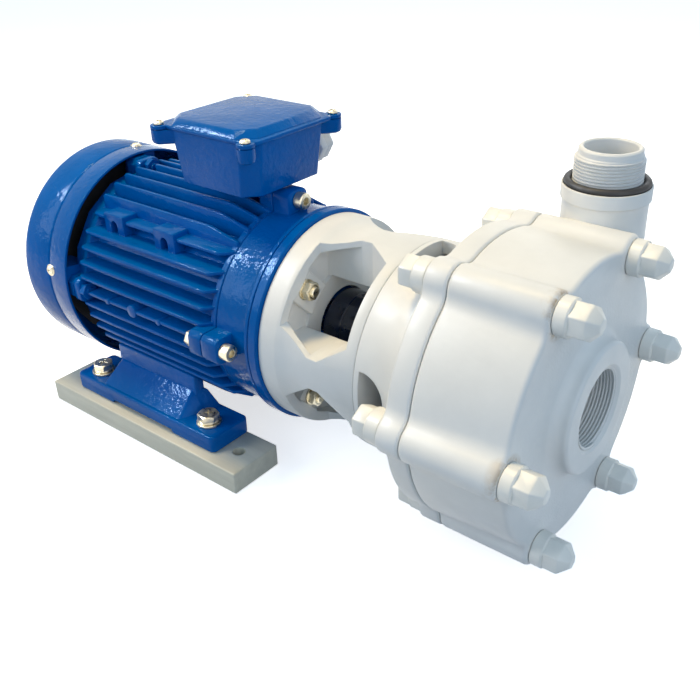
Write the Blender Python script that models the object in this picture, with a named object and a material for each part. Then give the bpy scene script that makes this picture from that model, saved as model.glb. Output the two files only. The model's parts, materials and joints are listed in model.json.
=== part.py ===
"""Close-coupled chemical pump: a plastic centrifugal pump end on a lantern, driven by a finned, foot
mounted electric motor on two riser bars.

Every shape is modelled in metres in the shaft frame: X runs along the shaft from the motor's flange
face towards the suction port, Z is up and the shaft axis is the X axis. One empty carries that frame
and puts the origin on the floor, under the middle of the pump's length.
"""

import math

import bmesh
import bpy
from mathutils import Matrix, Vector

# Clearances
GAP = 0.0003  # between pieces that seat on each other
HOLE_PLAY = 0.0004  # radial play of a bolt in its hole

# Shaft height and the base
FRAME_HEIGHT = 0.100
BAR_HEIGHT = 0.020
BAR_WIDTH = 0.050
BAR_LENGTH = 0.240
BAR_REAR_X = -0.254
BAR_CHAMFER = 0.0015
ANCHOR_INSET = 0.019
ANCHOR_R = 0.0055
FOOT_BOLT_Y = 0.084
FOOT_BOLT_REAR_X = -0.206
FOOT_BOLT_PITCH = 0.140
FOOT_WIDTH = 0.042
FOOT_OVERHANG = 0.020
FOOT_THICK = 0.015
FOOT_PAD_LENGTH = 0.048
FOOT_RELIEF = 0.004
FOOT_WEB_THICK = 0.010
FOOT_BOLT_R = 0.005
FOOT_BOLT_AF = 0.016
FOOT_BOLT_HEAD = 0.0055
WASHER_THICK = 0.002

# Motor housing
HOUSING_REAR_X = -0.213
HOUSING_FRONT_X = -0.0453
HOUSING_R = 0.077
HOUSING_WALL = 0.0055
HOUSING_RIM_R = 0.083
HOUSING_RIM = 0.006
FIN_CREST_R = 0.091
FIN_PITCH = 0.0132
FIN_ROOT_THICK = 0.0036
FIN_TIP_THICK = 0.0022
FIN_SLOPE = 0.004
SIDE_FINS = 7
TOP_FINS = 8
PAD_FACE_Y = 0.066
PAD_LOW_Z = 0.052
PAD_HIGH_Z = 0.068
PAD_LENGTH = 0.020
PAD_REAR_X = -0.178
PAD_PITCH = 0.063
LUG_R = 0.100
LUG_WIDTH = 0.022
LUG_LENGTH = 0.013
LUG_BOLT_R = 0.092
SHIELD_BOLT_R = 0.004
SHIELD_BOLT_HEAD_R = 0.0065
SHIELD_BOLT_HEAD = 0.008
REAR_LUG_R = 0.094
REAR_LUG_LENGTH = 0.0075
REAR_LUG_BOLT_R = 0.087
NUT_ROOM_HALF = 0.009
NUT_ROOM_LENGTH = 0.0105

# End shields
FLANGE_R = 0.087
FLANGE_THICK = 0.012
SHIELD_R = 0.083
SHIELD_WEB = 0.012
SHIELD_SPIGOT = 0.005
SHIELD_LUG_FRONT_X = -0.028
PILOT_R = 0.055
PILOT_LENGTH = 0.0035
REAR_SHIELD_THICK = 0.009

# Fan and cowl
COWL_R = 0.098
COWL_REAR_X = -0.282
COWL_SHEET = 0.002
COWL_ROUND = 0.008
COWL_BEAD_X = -0.241
COWL_LAP = 0.004
COWL_BOSS = 0.006
GRILLE_RINGS = (0.034, 0.052, 0.070)
GRILLE_SLOT = 0.009
GRILLE_RIB = 0.0045
GRILLE_RIBS = 5
FAN_R = 0.084
FAN_BLADES = 9
FAN_DEPTH = 0.024
FAN_BLADE_THICK = 0.0025
FAN_HUB_R = 0.021

# Rotor, bearings and stator
MOTOR_SHAFT_R = 0.014
SHAFT_EXTENSION = 0.060
BEARING_R = 0.031
BEARING_BORE_R = 0.015
BEARING_WIDTH = 0.016
FRONT_BEARING_X = -0.040
REAR_BEARING_X = -0.235
FAN_SEAT_R = 0.0115
CORE_REAR_X = -0.180
CORE_LENGTH = 0.105
ROTOR_R = 0.0455
ROTOR_BORE_R = 0.018
AIR_GAP = 0.0005
WINDING_REACH = 0.018
WINDING_INNER_R = 0.050
WINDING_OUTER_R = 0.067

# Terminal box
BOX_X = -0.077
PEDESTAL_HALF_X = 0.039
PEDESTAL_HALF_Y = 0.038
PEDESTAL_TOP_Z = 0.102
LEAD_HOLE_R = 0.013
BOX_FOOT_HALF_X = 0.0425
BOX_FOOT_HALF_Y = 0.043
BOX_HALF_X = 0.0475
BOX_HALF_Y = 0.0455
BOX_HEIGHT = 0.042
BOX_WALL = 0.004
BOX_FLOOR = 0.005
BOX_CORNER = 0.010
LID_HALF_X = 0.0520
LID_HALF_Y = 0.0490
LID_RIM = 0.003
LID_TOP_HALF_X = 0.039
LID_TOP_HALF_Y = 0.041
LID_RISE = 0.0055
LID_SCREW_X = 0.0463
LID_SCREW_Y = 0.0483
LID_EAR_R = 0.0065
LID_EAR_DEPTH = 0.018
LID_SCREW_R = 0.002
LID_SCREW_HEAD_R = 0.004
LID_SCREW_HEAD = 0.0028
GLAND_X = 0.023
GLAND_Z = 0.016
GLAND_R = 0.008
GLAND_BORE_R = 0.005
GLAND_AF = 0.022
GLAND_FLANGE = 0.007
GLAND_NUT = 0.013
BOARD_HALF_X = 0.022
BOARD_HALF_Y = 0.018
BOARD_THICK = 0.008
STUD_R = 0.002
STUD_HEIGHT = 0.010
STUD_PITCH = 0.014

# Lantern
LANTERN_LENGTH = 0.088
LANTERN_R = 0.084
LANTERN_WAIST_R = 0.080
LANTERN_NOSE_R = 0.0825
LANTERN_STEP_X = 0.016
LANTERN_WAIST_X = 0.034
LANTERN_BORE_R = 0.046
LANTERN_WALL_X = 0.011
LANTERN_HOLE_R = 0.034
LANTERN_SHELL = 0.006
HUB_X = 0.015
WINDOW_X = 0.049
WINDOW_LENGTH = 0.060
WINDOW_FLAT = 0.009
WINDOW_END = 0.0694
WINDOW_SPAN = 0.0976
STUD_CIRCLE_R = 0.065
STUD_BOLT_R = 0.004
STUD_DEPTH = 0.009
STUD_PAD_WIDTH = 0.025
STUD_PAD_X = 0.017
STUD_NUT_AF = 0.013
STUD_NUT = 0.0065
STUD_WASHER_R = 0.008
STUD_WASHER = 0.0014

# Pump shaft and seal
SLEEVE_R = 0.027
SLEEVE_X = 0.0145
SLEEVE_END_X = 0.092
STUB_R = 0.017
STUB_NOSE_R = 0.012
STUB_SHOULDER_X = 0.1545
SEAT_R = 0.030
SEAT_BORE_R = 0.0195
SEAT_LENGTH = 0.009
SEAL_RING_R = 0.026
SEAL_COVER_R = 0.050
SEAL_COVER_NOSE_R = 0.040
SEAL_COVER_X = 0.098

# Rear casing
NECK_R = 0.0825
NECK_WALL = 0.0095
NECK_LIP = 0.005
NECK_SPIGOT = 0.004
NECK_SPIGOT_R = 0.060
NECK_ROOT_X = 0.120
REAR_WALL_X = 0.128
NECK_WINDOW_X = 0.093
NECK_WINDOW_LENGTH = 0.021
NECK_WINDOW_WIDTH = 0.038
PARTING_X = 0.150
REAR_FLANGE = 0.017
IMPELLER_BACK_X = 0.141
PILOT_CLEAR = 0.004

# Front casing
CASING_R = 0.106
CASING_FRONT_R = 0.103
CASING_FRONT_X = 0.220
CASING_EDGE = 0.0025
LOBE_R = 0.015
LOBE_FILLET = 0.014
BOLT_CIRCLE_R = 0.1019
TIE_BOLTS = 6
CHAMBER_X = 0.200
VOLUTE_START_R = 0.076
VOLUTE_END_R = 0.086
SUCTION_FACE_X = 0.2316
SUCTION_BOSS_R = 0.047
SUCTION_BOSS_ROUND = 0.0025
SUCTION_FILLET = 0.008
SUCTION_THREAD_R = 0.0284
SUCTION_MOUTH_R = 0.0315
SUCTION_THREAD_DEPTH = 0.026
SUCTION_EYE_R = 0.025
O_RING_CIRCLE_R = 0.091
O_RING_R = 0.0019

# Tie bolts and cap nuts
TIE_BOLT_R = 0.005
BOLT_HEAD_AF = 0.021
BOLT_HEAD = 0.011
BOLT_COLLAR_R = 0.0125
BOLT_COLLAR = 0.011
COLLAR_ROOM = 0.001
NUT_COLLAR = 0.009
NUT_HEX = 0.0105
NUT_CONE = 0.0065
NUT_TIP_R = 0.004
BOLT_TIP_SHORT = 0.009

# Discharge
DISCHARGE_X = 0.1815
DISCHARGE_Y = 0.088
DISCHARGE_R = 0.0295
DISCHARGE_ROOT_R = 0.0303
DISCHARGE_BLEND_Z = 0.040
DISCHARGE_FOOT_Z = 0.010
DISCHARGE_FOOT_R = 0.015
DISCHARGE_COLLAR_R = 0.031
DISCHARGE_COLLAR_Z = 0.1105
DISCHARGE_TOP_Z = 0.121
DISCHARGE_BORE_R = 0.018
DISCHARGE_BORE_Z = 0.030
NIPPLE_R = 0.0239
NIPPLE_LEAD_R = 0.0217
NIPPLE_LEAD = 0.004
NIPPLE_TOP_Z = 0.1465
NIPPLE_SEAT_Z = 0.095
NIPPLE_CHAMFER = 0.0012
NIPPLE_SEAL_R = 0.0027
NIPPLE_SEAL_DEPTH = 0.0042

# Impeller
IMPELLER_R = 0.072
IMPELLER_X = 0.157
IMPELLER_SHROUD = 0.004
IMPELLER_WIDTH = 0.028
IMPELLER_EYE_R = 0.023
IMPELLER_NECK_R = 0.028
IMPELLER_NECK = 0.005
IMPELLER_HUB_R = 0.018
IMPELLER_BLADES = 6
IMPELLER_BLADE_THICK = 0.004

# Facets round a full turn
FINE = 32
MEDIUM = 16
COARSE = 8
HOLE = 8

# Places that follow from the sizes above
AXIS_HEIGHT = FRAME_HEIGHT + BAR_HEIGHT
SEAT_PLANE_Z = -FRAME_HEIGHT
LUG_ANGLES = tuple(math.tau * k / 4 for k in range(4))
WINDOW_ANGLES = tuple(math.tau * (k + 0.5) / 4 for k in range(4))
BOLT_ANGLES = tuple(math.tau * k / TIE_BOLTS for k in range(TIE_BOLTS))
COWL_FRONT_X = HOUSING_REAR_X - COWL_LAP
CORE_R = HOUSING_R - HOUSING_WALL
BOX_FLOOR_Z = PEDESTAL_TOP_Z + GAP
BOX_TOP_Z = BOX_FLOOR_Z + BOX_HEIGHT
LID_BOTTOM_Z = BOX_TOP_Z + GAP
REAR_FLANGE_X = PARTING_X - REAR_FLANGE
NUT_COLLAR_X = CASING_FRONT_X + GAP
NUT_TIP_X = NUT_COLLAR_X + NUT_COLLAR + NUT_HEX + NUT_CONE
BOLT_TIP_X = NUT_TIP_X - BOLT_TIP_SHORT
SEAT_X = IMPELLER_BACK_X - SEAT_LENGTH
STUB_NOSE_X = IMPELLER_X + IMPELLER_SHROUD + IMPELLER_WIDTH - 0.004
FACE_X = -(COWL_REAR_X + NUT_TIP_X) / 2


def clear_scene():
    for obj in list(bpy.data.objects):
        bpy.data.objects.remove(obj, do_unlink=True)


def material(name, colour, roughness, metallic=0.0):
    made = bpy.data.materials.new(name)
    made.use_nodes = True
    made.diffuse_color = (*colour, 1.0)
    shader = made.node_tree.nodes["Principled BSDF"]
    shader.inputs["Base Color"].default_value = (*colour, 1.0)
    shader.inputs["Roughness"].default_value = roughness
    shader.inputs["Metallic"].default_value = metallic
    return made


def empty(name, parent=None, location=(0.0, 0.0, 0.0)):
    made = bpy.data.objects.new(name, None)
    made.empty_display_size = 0.05
    made.location = location
    made.parent = parent
    bpy.context.scene.collection.objects.link(made)
    return made


def shape(bm, name="tool"):
    """An object of the mesh being built, with its faces turned outwards."""
    bmesh.ops.recalc_face_normals(bm, faces=bm.faces)
    mesh = bpy.data.meshes.new(name)
    bm.to_mesh(mesh)
    bm.free()
    made = bpy.data.objects.new(name, mesh)
    bpy.context.scene.collection.objects.link(made)
    return made


def turned(profile, steps=MEDIUM):
    """A profile of (x, radius) points turned round the X axis. It is open where both ends lie on the
    axis, and a closed loop otherwise."""
    bm = bmesh.new()
    verts = [bm.verts.new((x, 0.0, radius)) for x, radius in profile]
    pairs = list(zip(verts, verts[1:]))
    if profile[0][1] > 0.0 or profile[-1][1] > 0.0:
        pairs.append((verts[-1], verts[0]))
    edges = [bm.edges.new(pair) for pair in pairs]
    bmesh.ops.spin(
        bm, geom=verts + edges, cent=(0, 0, 0), axis=(1, 0, 0), angle=math.tau, steps=steps,
        use_merge=True,
    )
    bmesh.ops.remove_doubles(bm, verts=bm.verts, dist=1e-7)
    return shape(bm)


def spot(axis, along, a, b):
    """A point from its place along an axis and its two other coordinates, in the order X, Y, Z."""
    return Vector({"X": (along, a, b), "Y": (a, along, b), "Z": (a, b, along)}[axis])


def loft(sections, axis="X"):
    """A closed body through outlines of as many points each, given as (place along the axis, points)."""
    bm = bmesh.new()
    loops = []
    for along, points in sections:
        loops.append([bm.verts.new(spot(axis, along, a, b)) for a, b in points])
    bm.faces.new(loops[0])
    bm.faces.new(loops[-1])
    for low, high in zip(loops, loops[1:]):
        for k in range(len(low)):
            bm.faces.new((low[k - 1], low[k], high[k], high[k - 1]))
    return shape(bm)


def prism(points, low, high, axis="X"):
    """An outline extruded along an axis."""
    bm = bmesh.new()
    face = bm.faces.new([bm.verts.new(spot(axis, low, a, b)) for a, b in points])
    grown = bmesh.ops.extrude_face_region(bm, geom=[face])
    far = [item for item in grown["geom"] if isinstance(item, bmesh.types.BMVert)]
    bmesh.ops.translate(bm, verts=far, vec=spot(axis, high - low, 0.0, 0.0))
    return shape(bm)


def disc(centre, radius, steps=COARSE, turn=0.0):
    return arc(centre, radius, turn, turn + math.tau * (steps - 1) / steps, steps - 1)


def around_flats(radius, steps):
    """Corner radius of a faceted bore whose flats stay clear of a round of this radius."""
    return radius / math.cos(math.pi / steps)


def arc(centre, radius, start, end, steps):
    """Points along an arc, both ends included."""
    angles = [start + (end - start) * k / steps for k in range(steps + 1)]
    return [(centre[0] + radius * math.cos(a), centre[1] + radius * math.sin(a)) for a in angles]


def hexagon(centre, across_flats, turn=0.0):
    return disc(centre, across_flats / math.sqrt(3), 6, turn)


def rectangle(a0, a1, b0, b1, corner=0.0):
    """A rectangle, with its corners chamfered when a corner size is given."""
    if corner <= 0.0:
        return [(a0, b0), (a1, b0), (a1, b1), (a0, b1)]
    return [
        (a0 + corner, b0), (a1 - corner, b0), (a1, b0 + corner), (a1, b1 - corner),
        (a1 - corner, b1), (a0 + corner, b1), (a0, b1 - corner), (a0, b0 + corner),
    ]


def moved(tool, matrix):
    tool.data.transform(matrix)
    if matrix.determinant() < 0.0:
        tool.data.flip_normals()
    return tool


def around(tool, angles):
    """The tool, modelled on the +Y side, copied to each angle round the shaft axis."""
    made = []
    for angle in angles:
        copy = tool.copy()
        copy.data = tool.data.copy()
        bpy.context.scene.collection.objects.link(copy)
        made.append(moved(copy, Matrix.Rotation(angle, 4, "X")))
    discard(tool)
    return made


def upright(tool, x, y):
    """A piece turned on the X axis, stood up so that it runs along Z at the given place."""
    return moved(tool, Matrix.Translation((x, y, 0.0)) @ Matrix.Rotation(-math.pi / 2, 4, "Y"))


def discard(tool):
    mesh = tool.data
    bpy.data.objects.remove(tool)
    bpy.data.meshes.remove(mesh)


def combined(body, tools, operation):
    """Applies the tools to the body one after the other, and uses them up."""
    for tool in tools:
        step = body.modifiers.new(operation.title(), "BOOLEAN")
        step.operation = operation
        step.solver = "EXACT"
        step.object = tool
        graph = bpy.context.evaluated_depsgraph_get()
        graph.update()
        mesh = bpy.data.meshes.new_from_object(body.evaluated_get(graph))
        before = body.data
        body.modifiers.clear()
        body.data = mesh
        bpy.data.meshes.remove(before)
        discard(tool)
    return body


def union(body, *tools):
    return combined(body, tools, "UNION")


def cut(body, *tools):
    return combined(body, tools, "DIFFERENCE")


def node(tool, name, look, parent):
    """Names a finished piece, gives it its material and shading, and hangs it on its parent."""
    tool.name = name
    tool.data.name = name
    tool.data.materials.clear()
    tool.data.materials.append(look)
    tool.data.shade_smooth()
    tool.data.set_sharp_from_angle(angle=math.radians(32))
    tool.parent = parent
    return tool


def nodes_at(tool, name, matrices, look, parent):
    """One named object for each place, all of them sharing the tool's mesh."""
    made = []
    for number, matrix in enumerate(matrices, 1):
        copy = tool if number == 1 else tool.copy()
        if number > 1:
            bpy.context.scene.collection.objects.link(copy)
        copy.matrix_local = matrix
        made.append(node(copy, f"{name}_{number}", look, parent) if number == 1 else copy)
        copy.name = f"{name}_{number}"
        copy.parent = parent
    return made


def about_shaft(angles):
    return [Matrix.Rotation(angle, 4, "X") for angle in angles]


def lobed(base, lobe, fillet):
    """The casing's outline: a circle with a round boss at each tie bolt and a concave fillet on both
    sides of each boss."""
    pitch = math.tau / TIE_BOLTS
    reach = base + fillet
    away = math.acos(
        (reach**2 + BOLT_CIRCLE_R**2 - (lobe + fillet) ** 2) / (2 * reach * BOLT_CIRCLE_R)
    )
    hollow = (reach * math.cos(away), reach * math.sin(away))
    lean = math.atan2(hollow[1], hollow[0] - BOLT_CIRCLE_R)
    sector = arc((BOLT_CIRCLE_R, 0.0), lobe, -lean, lean, 5)
    easing = arc(hollow, fillet, math.pi + lean, math.pi + away, 2)[1:]
    sector += easing
    sector += arc((0.0, 0.0), base, away, pitch - away, 4)[1:]
    mirror = [(y * math.cos(pitch) + z * math.sin(pitch), y * math.sin(pitch) - z * math.cos(pitch))
              for y, z in easing]
    sector += mirror[-2::-1]
    outline = []
    for angle in BOLT_ANGLES:
        cosine = math.cos(angle)
        sine = math.sin(angle)
        outline += [(y * cosine - z * sine, y * sine + z * cosine) for y, z in sector]
    return outline


def riser_bar(side):
    inner = side * (FOOT_BOLT_Y - BAR_WIDTH / 2)
    outer = side * (FOOT_BOLT_Y + BAR_WIDTH / 2)
    top = SEAT_PLANE_Z - GAP
    y0, y1 = sorted((inner, outer))
    front = BAR_REAR_X + BAR_LENGTH
    plan = rectangle(BAR_REAR_X, front, y0, y1, BAR_CHAMFER)
    edge = rectangle(
        BAR_REAR_X + BAR_CHAMFER, front - BAR_CHAMFER, y0 + BAR_CHAMFER, y1 - BAR_CHAMFER, BAR_CHAMFER
    )
    bar = loft([(-AXIS_HEIGHT, plan), (top - BAR_CHAMFER, plan), (top, edge)], "Z")
    y = side * FOOT_BOLT_Y
    tools = []
    for x in (BAR_REAR_X + ANCHOR_INSET, front - ANCHOR_INSET):
        tools.append(prism(disc((x, y), ANCHOR_R), -AXIS_HEIGHT - 0.01, top + 0.01, "Z"))
    for x in (FOOT_BOLT_REAR_X, FOOT_BOLT_REAR_X + FOOT_BOLT_PITCH):
        hole = round_hole((x, y), FOOT_BOLT_R)
        tools.append(prism(hole, top - BAR_HEIGHT + 0.004, top + 0.01, "Z"))
    return cut(bar, *tools)


def foot(side):
    """Cast foot: a plate relieved between its two end pads, with a sloped web up to the housing pads."""
    rear = FOOT_BOLT_REAR_X - FOOT_OVERHANG
    front = FOOT_BOLT_REAR_X + FOOT_BOLT_PITCH + FOOT_OVERHANG
    low = SEAT_PLANE_Z
    plate = [
        (rear, low), (rear + FOOT_PAD_LENGTH, low),
        (rear + FOOT_PAD_LENGTH + FOOT_RELIEF, low + FOOT_RELIEF),
        (front - FOOT_PAD_LENGTH - FOOT_RELIEF, low + FOOT_RELIEF),
        (front - FOOT_PAD_LENGTH, low), (front, low), (front, low + FOOT_THICK - 0.002),
        (front - 0.002, low + FOOT_THICK), (rear + 0.002, low + FOOT_THICK),
        (rear, low + FOOT_THICK - 0.002),
    ]
    outer = FOOT_BOLT_Y + FOOT_WIDTH * 0.38
    inner = outer - FOOT_WIDTH
    body = prism(plate, inner, outer, "Y")
    face = PAD_FACE_Y + GAP
    web = [
        (inner + 0.001, low + FOOT_THICK - 0.002), (outer - 0.002, low + FOOT_THICK - 0.002),
        (face + FOOT_WEB_THICK + 0.002, -PAD_HIGH_Z), (face + FOOT_WEB_THICK, -PAD_LOW_Z),
        (face, -PAD_LOW_Z), (face, -PAD_HIGH_Z - 0.002), (inner + 0.001, -PAD_HIGH_Z - 0.004),
    ]
    web_rear = PAD_REAR_X - PAD_LENGTH / 2
    web_front = PAD_REAR_X + PAD_PITCH + PAD_LENGTH / 2
    body = union(body, prism(web, web_rear, web_front, "X"))
    holes = []
    for x in (FOOT_BOLT_REAR_X, FOOT_BOLT_REAR_X + FOOT_BOLT_PITCH):
        hole = round_hole((x, FOOT_BOLT_Y), FOOT_BOLT_R)
        holes.append(prism(hole, low - 0.01, low + FOOT_THICK + 0.03, "Z"))
    body = cut(body, *holes)
    if side < 0:
        moved(body, Matrix.Scale(-1.0, 4, (0.0, 1.0, 0.0)))
    return body


def foot_bolt():
    """Hex bolt with its spring washer and flat washer, standing on the foot's end pad."""
    seat = SEAT_PLANE_Z + FOOT_THICK + GAP
    head = seat + 2 * WASHER_THICK
    radius = FOOT_BOLT_R
    stack = turned(
        [
            (SEAT_PLANE_Z - BAR_HEIGHT + 0.007, 0.0), (SEAT_PLANE_Z - BAR_HEIGHT + 0.007, radius),
            (seat, radius), (seat, radius * 2.1), (seat + WASHER_THICK, radius * 2.1),
            (seat + WASHER_THICK, radius * 1.7), (head + 0.001, radius * 1.7), (head + 0.001, 0.0),
        ],
        COARSE,
    )
    upright(stack, 0.0, 0.0)
    cap = loft(
        [
            (head, hexagon((0.0, 0.0), FOOT_BOLT_AF)),
            (head + FOOT_BOLT_HEAD - 0.001, hexagon((0.0, 0.0), FOOT_BOLT_AF)),
            (head + FOOT_BOLT_HEAD, hexagon((0.0, 0.0), FOOT_BOLT_AF * 0.86)),
        ],
        "Z",
    )
    return union(stack, cap)


def fin(root_r, crest_r, offset, rear, front):
    """A cooling fin that stands out along +Y at a height over the axis, thinner at its crest."""
    root = math.sqrt(root_r**2 - offset**2)
    crest = math.sqrt(crest_r**2 - offset**2)
    wide = FIN_ROOT_THICK / 2
    thin = FIN_TIP_THICK / 2
    low = rectangle(rear, front, offset - wide, offset + wide)
    high = rectangle(rear + FIN_SLOPE, front - FIN_SLOPE, offset - thin, offset + thin)
    return loft([(root, low), (crest, high)], "Y")


def fins():
    rear = HOUSING_REAR_X + HOUSING_RIM * 0.7
    front = HOUSING_FRONT_X - HOUSING_RIM * 0.7
    buried = HOUSING_R - HOUSING_WALL / 2
    made = []
    for k in range(SIDE_FINS):
        offset = (k - (SIDE_FINS - 1) / 2) * FIN_PITCH
        made += around(fin(buried, FIN_CREST_R, offset, rear, front), (0.0, math.pi))
    for k in range(TOP_FINS):
        offset = (k - (TOP_FINS - 1) / 2) * FIN_PITCH
        made += around(
            fin(buried, FIN_CREST_R, offset, rear, front), (math.pi / 2, -math.pi / 2)
        )
    return made


def lug(radius, width, rear, front):
    """A screw lug on the +Y side, rounded off outside."""
    root = HOUSING_R - HOUSING_WALL / 2
    half = width / 2
    outline = [
        (root, -half), (radius - 0.005, -half), (radius, -half + 0.005), (radius, half - 0.005),
        (radius - 0.005, half), (root, half),
    ]
    return prism(outline, rear, front)


def round_hole(centre, radius):
    """A hole's outline, its flats clear of a round of this radius."""
    return disc(centre, around_flats(radius + HOLE_PLAY, HOLE), HOLE, math.pi / (2 * HOLE))


def bolt_hole(radius, circle, rear, front):
    """A hole along the shaft for a bolt on the +Y side."""
    return prism(round_hole((circle, 0.0), radius), rear - 0.005, front + 0.005)


def nut_room(circle, rear, front):
    """Space cleared of fins for the nut behind a lug, open outwards, on the +Y side."""
    half = NUT_ROOM_HALF
    return prism(rectangle(circle - half, LUG_R + half, -half, half), rear, front)


def stator_housing():
    """Finned barrel with screw lugs at both ends, four pads on its flanks and the box pedestal on top."""
    rear = HOUSING_REAR_X
    front = HOUSING_FRONT_X
    body = turned(
        [
            (rear, 0.0), (rear, HOUSING_RIM_R), (rear + HOUSING_RIM, HOUSING_RIM_R),
            (rear + HOUSING_RIM + 0.003, HOUSING_R), (front - HOUSING_RIM - 0.003, HOUSING_R),
            (front - HOUSING_RIM, HOUSING_RIM_R), (front, HOUSING_RIM_R), (front, 0.0),
        ],
        FINE,
    )
    pads = []
    for sign_y in (-1, 1):
        for sign_z in (-1, 1):
            for x in (PAD_REAR_X, PAD_REAR_X + PAD_PITCH):
                z0, z1 = sorted((sign_z * PAD_LOW_Z, sign_z * PAD_HIGH_Z))
                outline = rectangle(x - PAD_LENGTH / 2, x + PAD_LENGTH / 2, z0, z1)
                pads.append(prism(outline, sign_y * 0.044, sign_y * PAD_FACE_Y, "Y"))
    plan = rectangle(
        BOX_X - PEDESTAL_HALF_X, front - 0.0015, -PEDESTAL_HALF_Y, PEDESTAL_HALF_Y, 0.003
    )
    pedestal = prism(plan, HOUSING_R * 0.8, PEDESTAL_TOP_Z, "Z")
    front_lugs = around(lug(LUG_R, LUG_WIDTH, front - LUG_LENGTH - 0.001, front), LUG_ANGLES)
    rear_lugs = around(
        lug(REAR_LUG_R, LUG_WIDTH, rear, rear + REAR_LUG_LENGTH + 0.001), LUG_ANGLES
    )
    body = union(body, *fins(), *pads, pedestal, *front_lugs, *rear_lugs)
    bore = prism(
        disc((0.0, 0.0), around_flats(CORE_R, FINE), FINE, math.pi / FINE), rear - 0.01, front + 0.01
    )
    lead_hole = prism(disc((BOX_X, 0.0), LEAD_HOLE_R), CORE_R - 0.01, PEDESTAL_TOP_Z + 0.01, "Z")
    front_holes = around(
        bolt_hole(SHIELD_BOLT_R, LUG_BOLT_R, front - LUG_LENGTH, front), LUG_ANGLES
    )
    rear_holes = around(bolt_hole(SHIELD_BOLT_R, REAR_LUG_BOLT_R, rear, rear + REAR_LUG_LENGTH), LUG_ANGLES)
    front_face = front - LUG_LENGTH
    rear_face = rear + REAR_LUG_LENGTH
    rooms = around(nut_room(LUG_BOLT_R, front_face - NUT_ROOM_LENGTH, front_face), LUG_ANGLES)
    rooms += around(nut_room(REAR_LUG_BOLT_R, rear_face, rear_face + NUT_ROOM_LENGTH), LUG_ANGLES)
    pad_holes = []
    for sign_y in (-1, 1):
        for x in (PAD_REAR_X, PAD_REAR_X + PAD_PITCH):
            centre = (x, (PAD_LOW_Z + PAD_HIGH_Z) / 2)
            low, high = sorted((sign_y * (PAD_FACE_Y - 0.008), sign_y * (PAD_FACE_Y + 0.005)))
            pad_holes.append(prism(disc(centre, 0.0035, HOLE), low, high, "Y"))
    body = cut(body, bore, lead_hole, *rooms)
    return cut(body, *front_holes, *rear_holes, *pad_holes)


def stator_core():
    """Laminated core with the end windings standing out of both its faces."""
    front = CORE_REAR_X + CORE_LENGTH
    inner = around_flats(ROTOR_R + AIR_GAP, MEDIUM)
    return turned(
        [
            (CORE_REAR_X, inner), (CORE_REAR_X, WINDING_INNER_R),
            (CORE_REAR_X - WINDING_REACH, WINDING_INNER_R + 0.003),
            (CORE_REAR_X - WINDING_REACH, WINDING_OUTER_R - 0.003),
            (CORE_REAR_X, WINDING_OUTER_R), (CORE_REAR_X, CORE_R - GAP),
            (front, CORE_R - GAP), (front, WINDING_OUTER_R),
            (front + WINDING_REACH, WINDING_OUTER_R - 0.003),
            (front + WINDING_REACH, WINDING_INNER_R + 0.003), (front, WINDING_INNER_R),
            (front, inner),
        ],
        MEDIUM,
    )


def drive_end_shield():
    """Front bearing shield with the round flange that carries the lantern."""
    rear = HOUSING_FRONT_X + GAP
    spigot = CORE_R - GAP
    pocket = FRONT_BEARING_X + BEARING_WIDTH + GAP
    body = turned(
        [
            (rear - SHIELD_SPIGOT, spigot), (rear, spigot), (rear, LANTERN_R),
            (rear + 0.008, LANTERN_R), (rear + 0.014, SHIELD_R), (-FLANGE_THICK - 0.003, SHIELD_R),
            (-FLANGE_THICK, FLANGE_R), (0.0, FLANGE_R), (0.0, PILOT_R),
            (PILOT_LENGTH, PILOT_R), (PILOT_LENGTH, MOTOR_SHAFT_R + 0.002),
            (pocket, MOTOR_SHAFT_R + 0.002), (pocket, BEARING_R + GAP),
            (FRONT_BEARING_X - 0.002, BEARING_R + GAP), (FRONT_BEARING_X - 0.002, BEARING_R + 0.007),
            (-SHIELD_WEB, BEARING_R + 0.011), (-SHIELD_WEB, SHIELD_R - 0.012),
            (rear - SHIELD_SPIGOT, spigot - 0.005),
        ],
        FINE,
    )
    lugs = around(lug(LUG_R, LUG_WIDTH, rear, SHIELD_LUG_FRONT_X), LUG_ANGLES)
    body = union(body, *lugs)
    holes = around(bolt_hole(SHIELD_BOLT_R, LUG_BOLT_R, rear, SHIELD_LUG_FRONT_X), LUG_ANGLES)
    stud = bolt_hole(STUD_BOLT_R, STUD_CIRCLE_R, 0.005 - STUD_DEPTH - 2 * GAP, 0.005)
    return cut(body, *holes, *around(stud, WINDOW_ANGLES))


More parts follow.
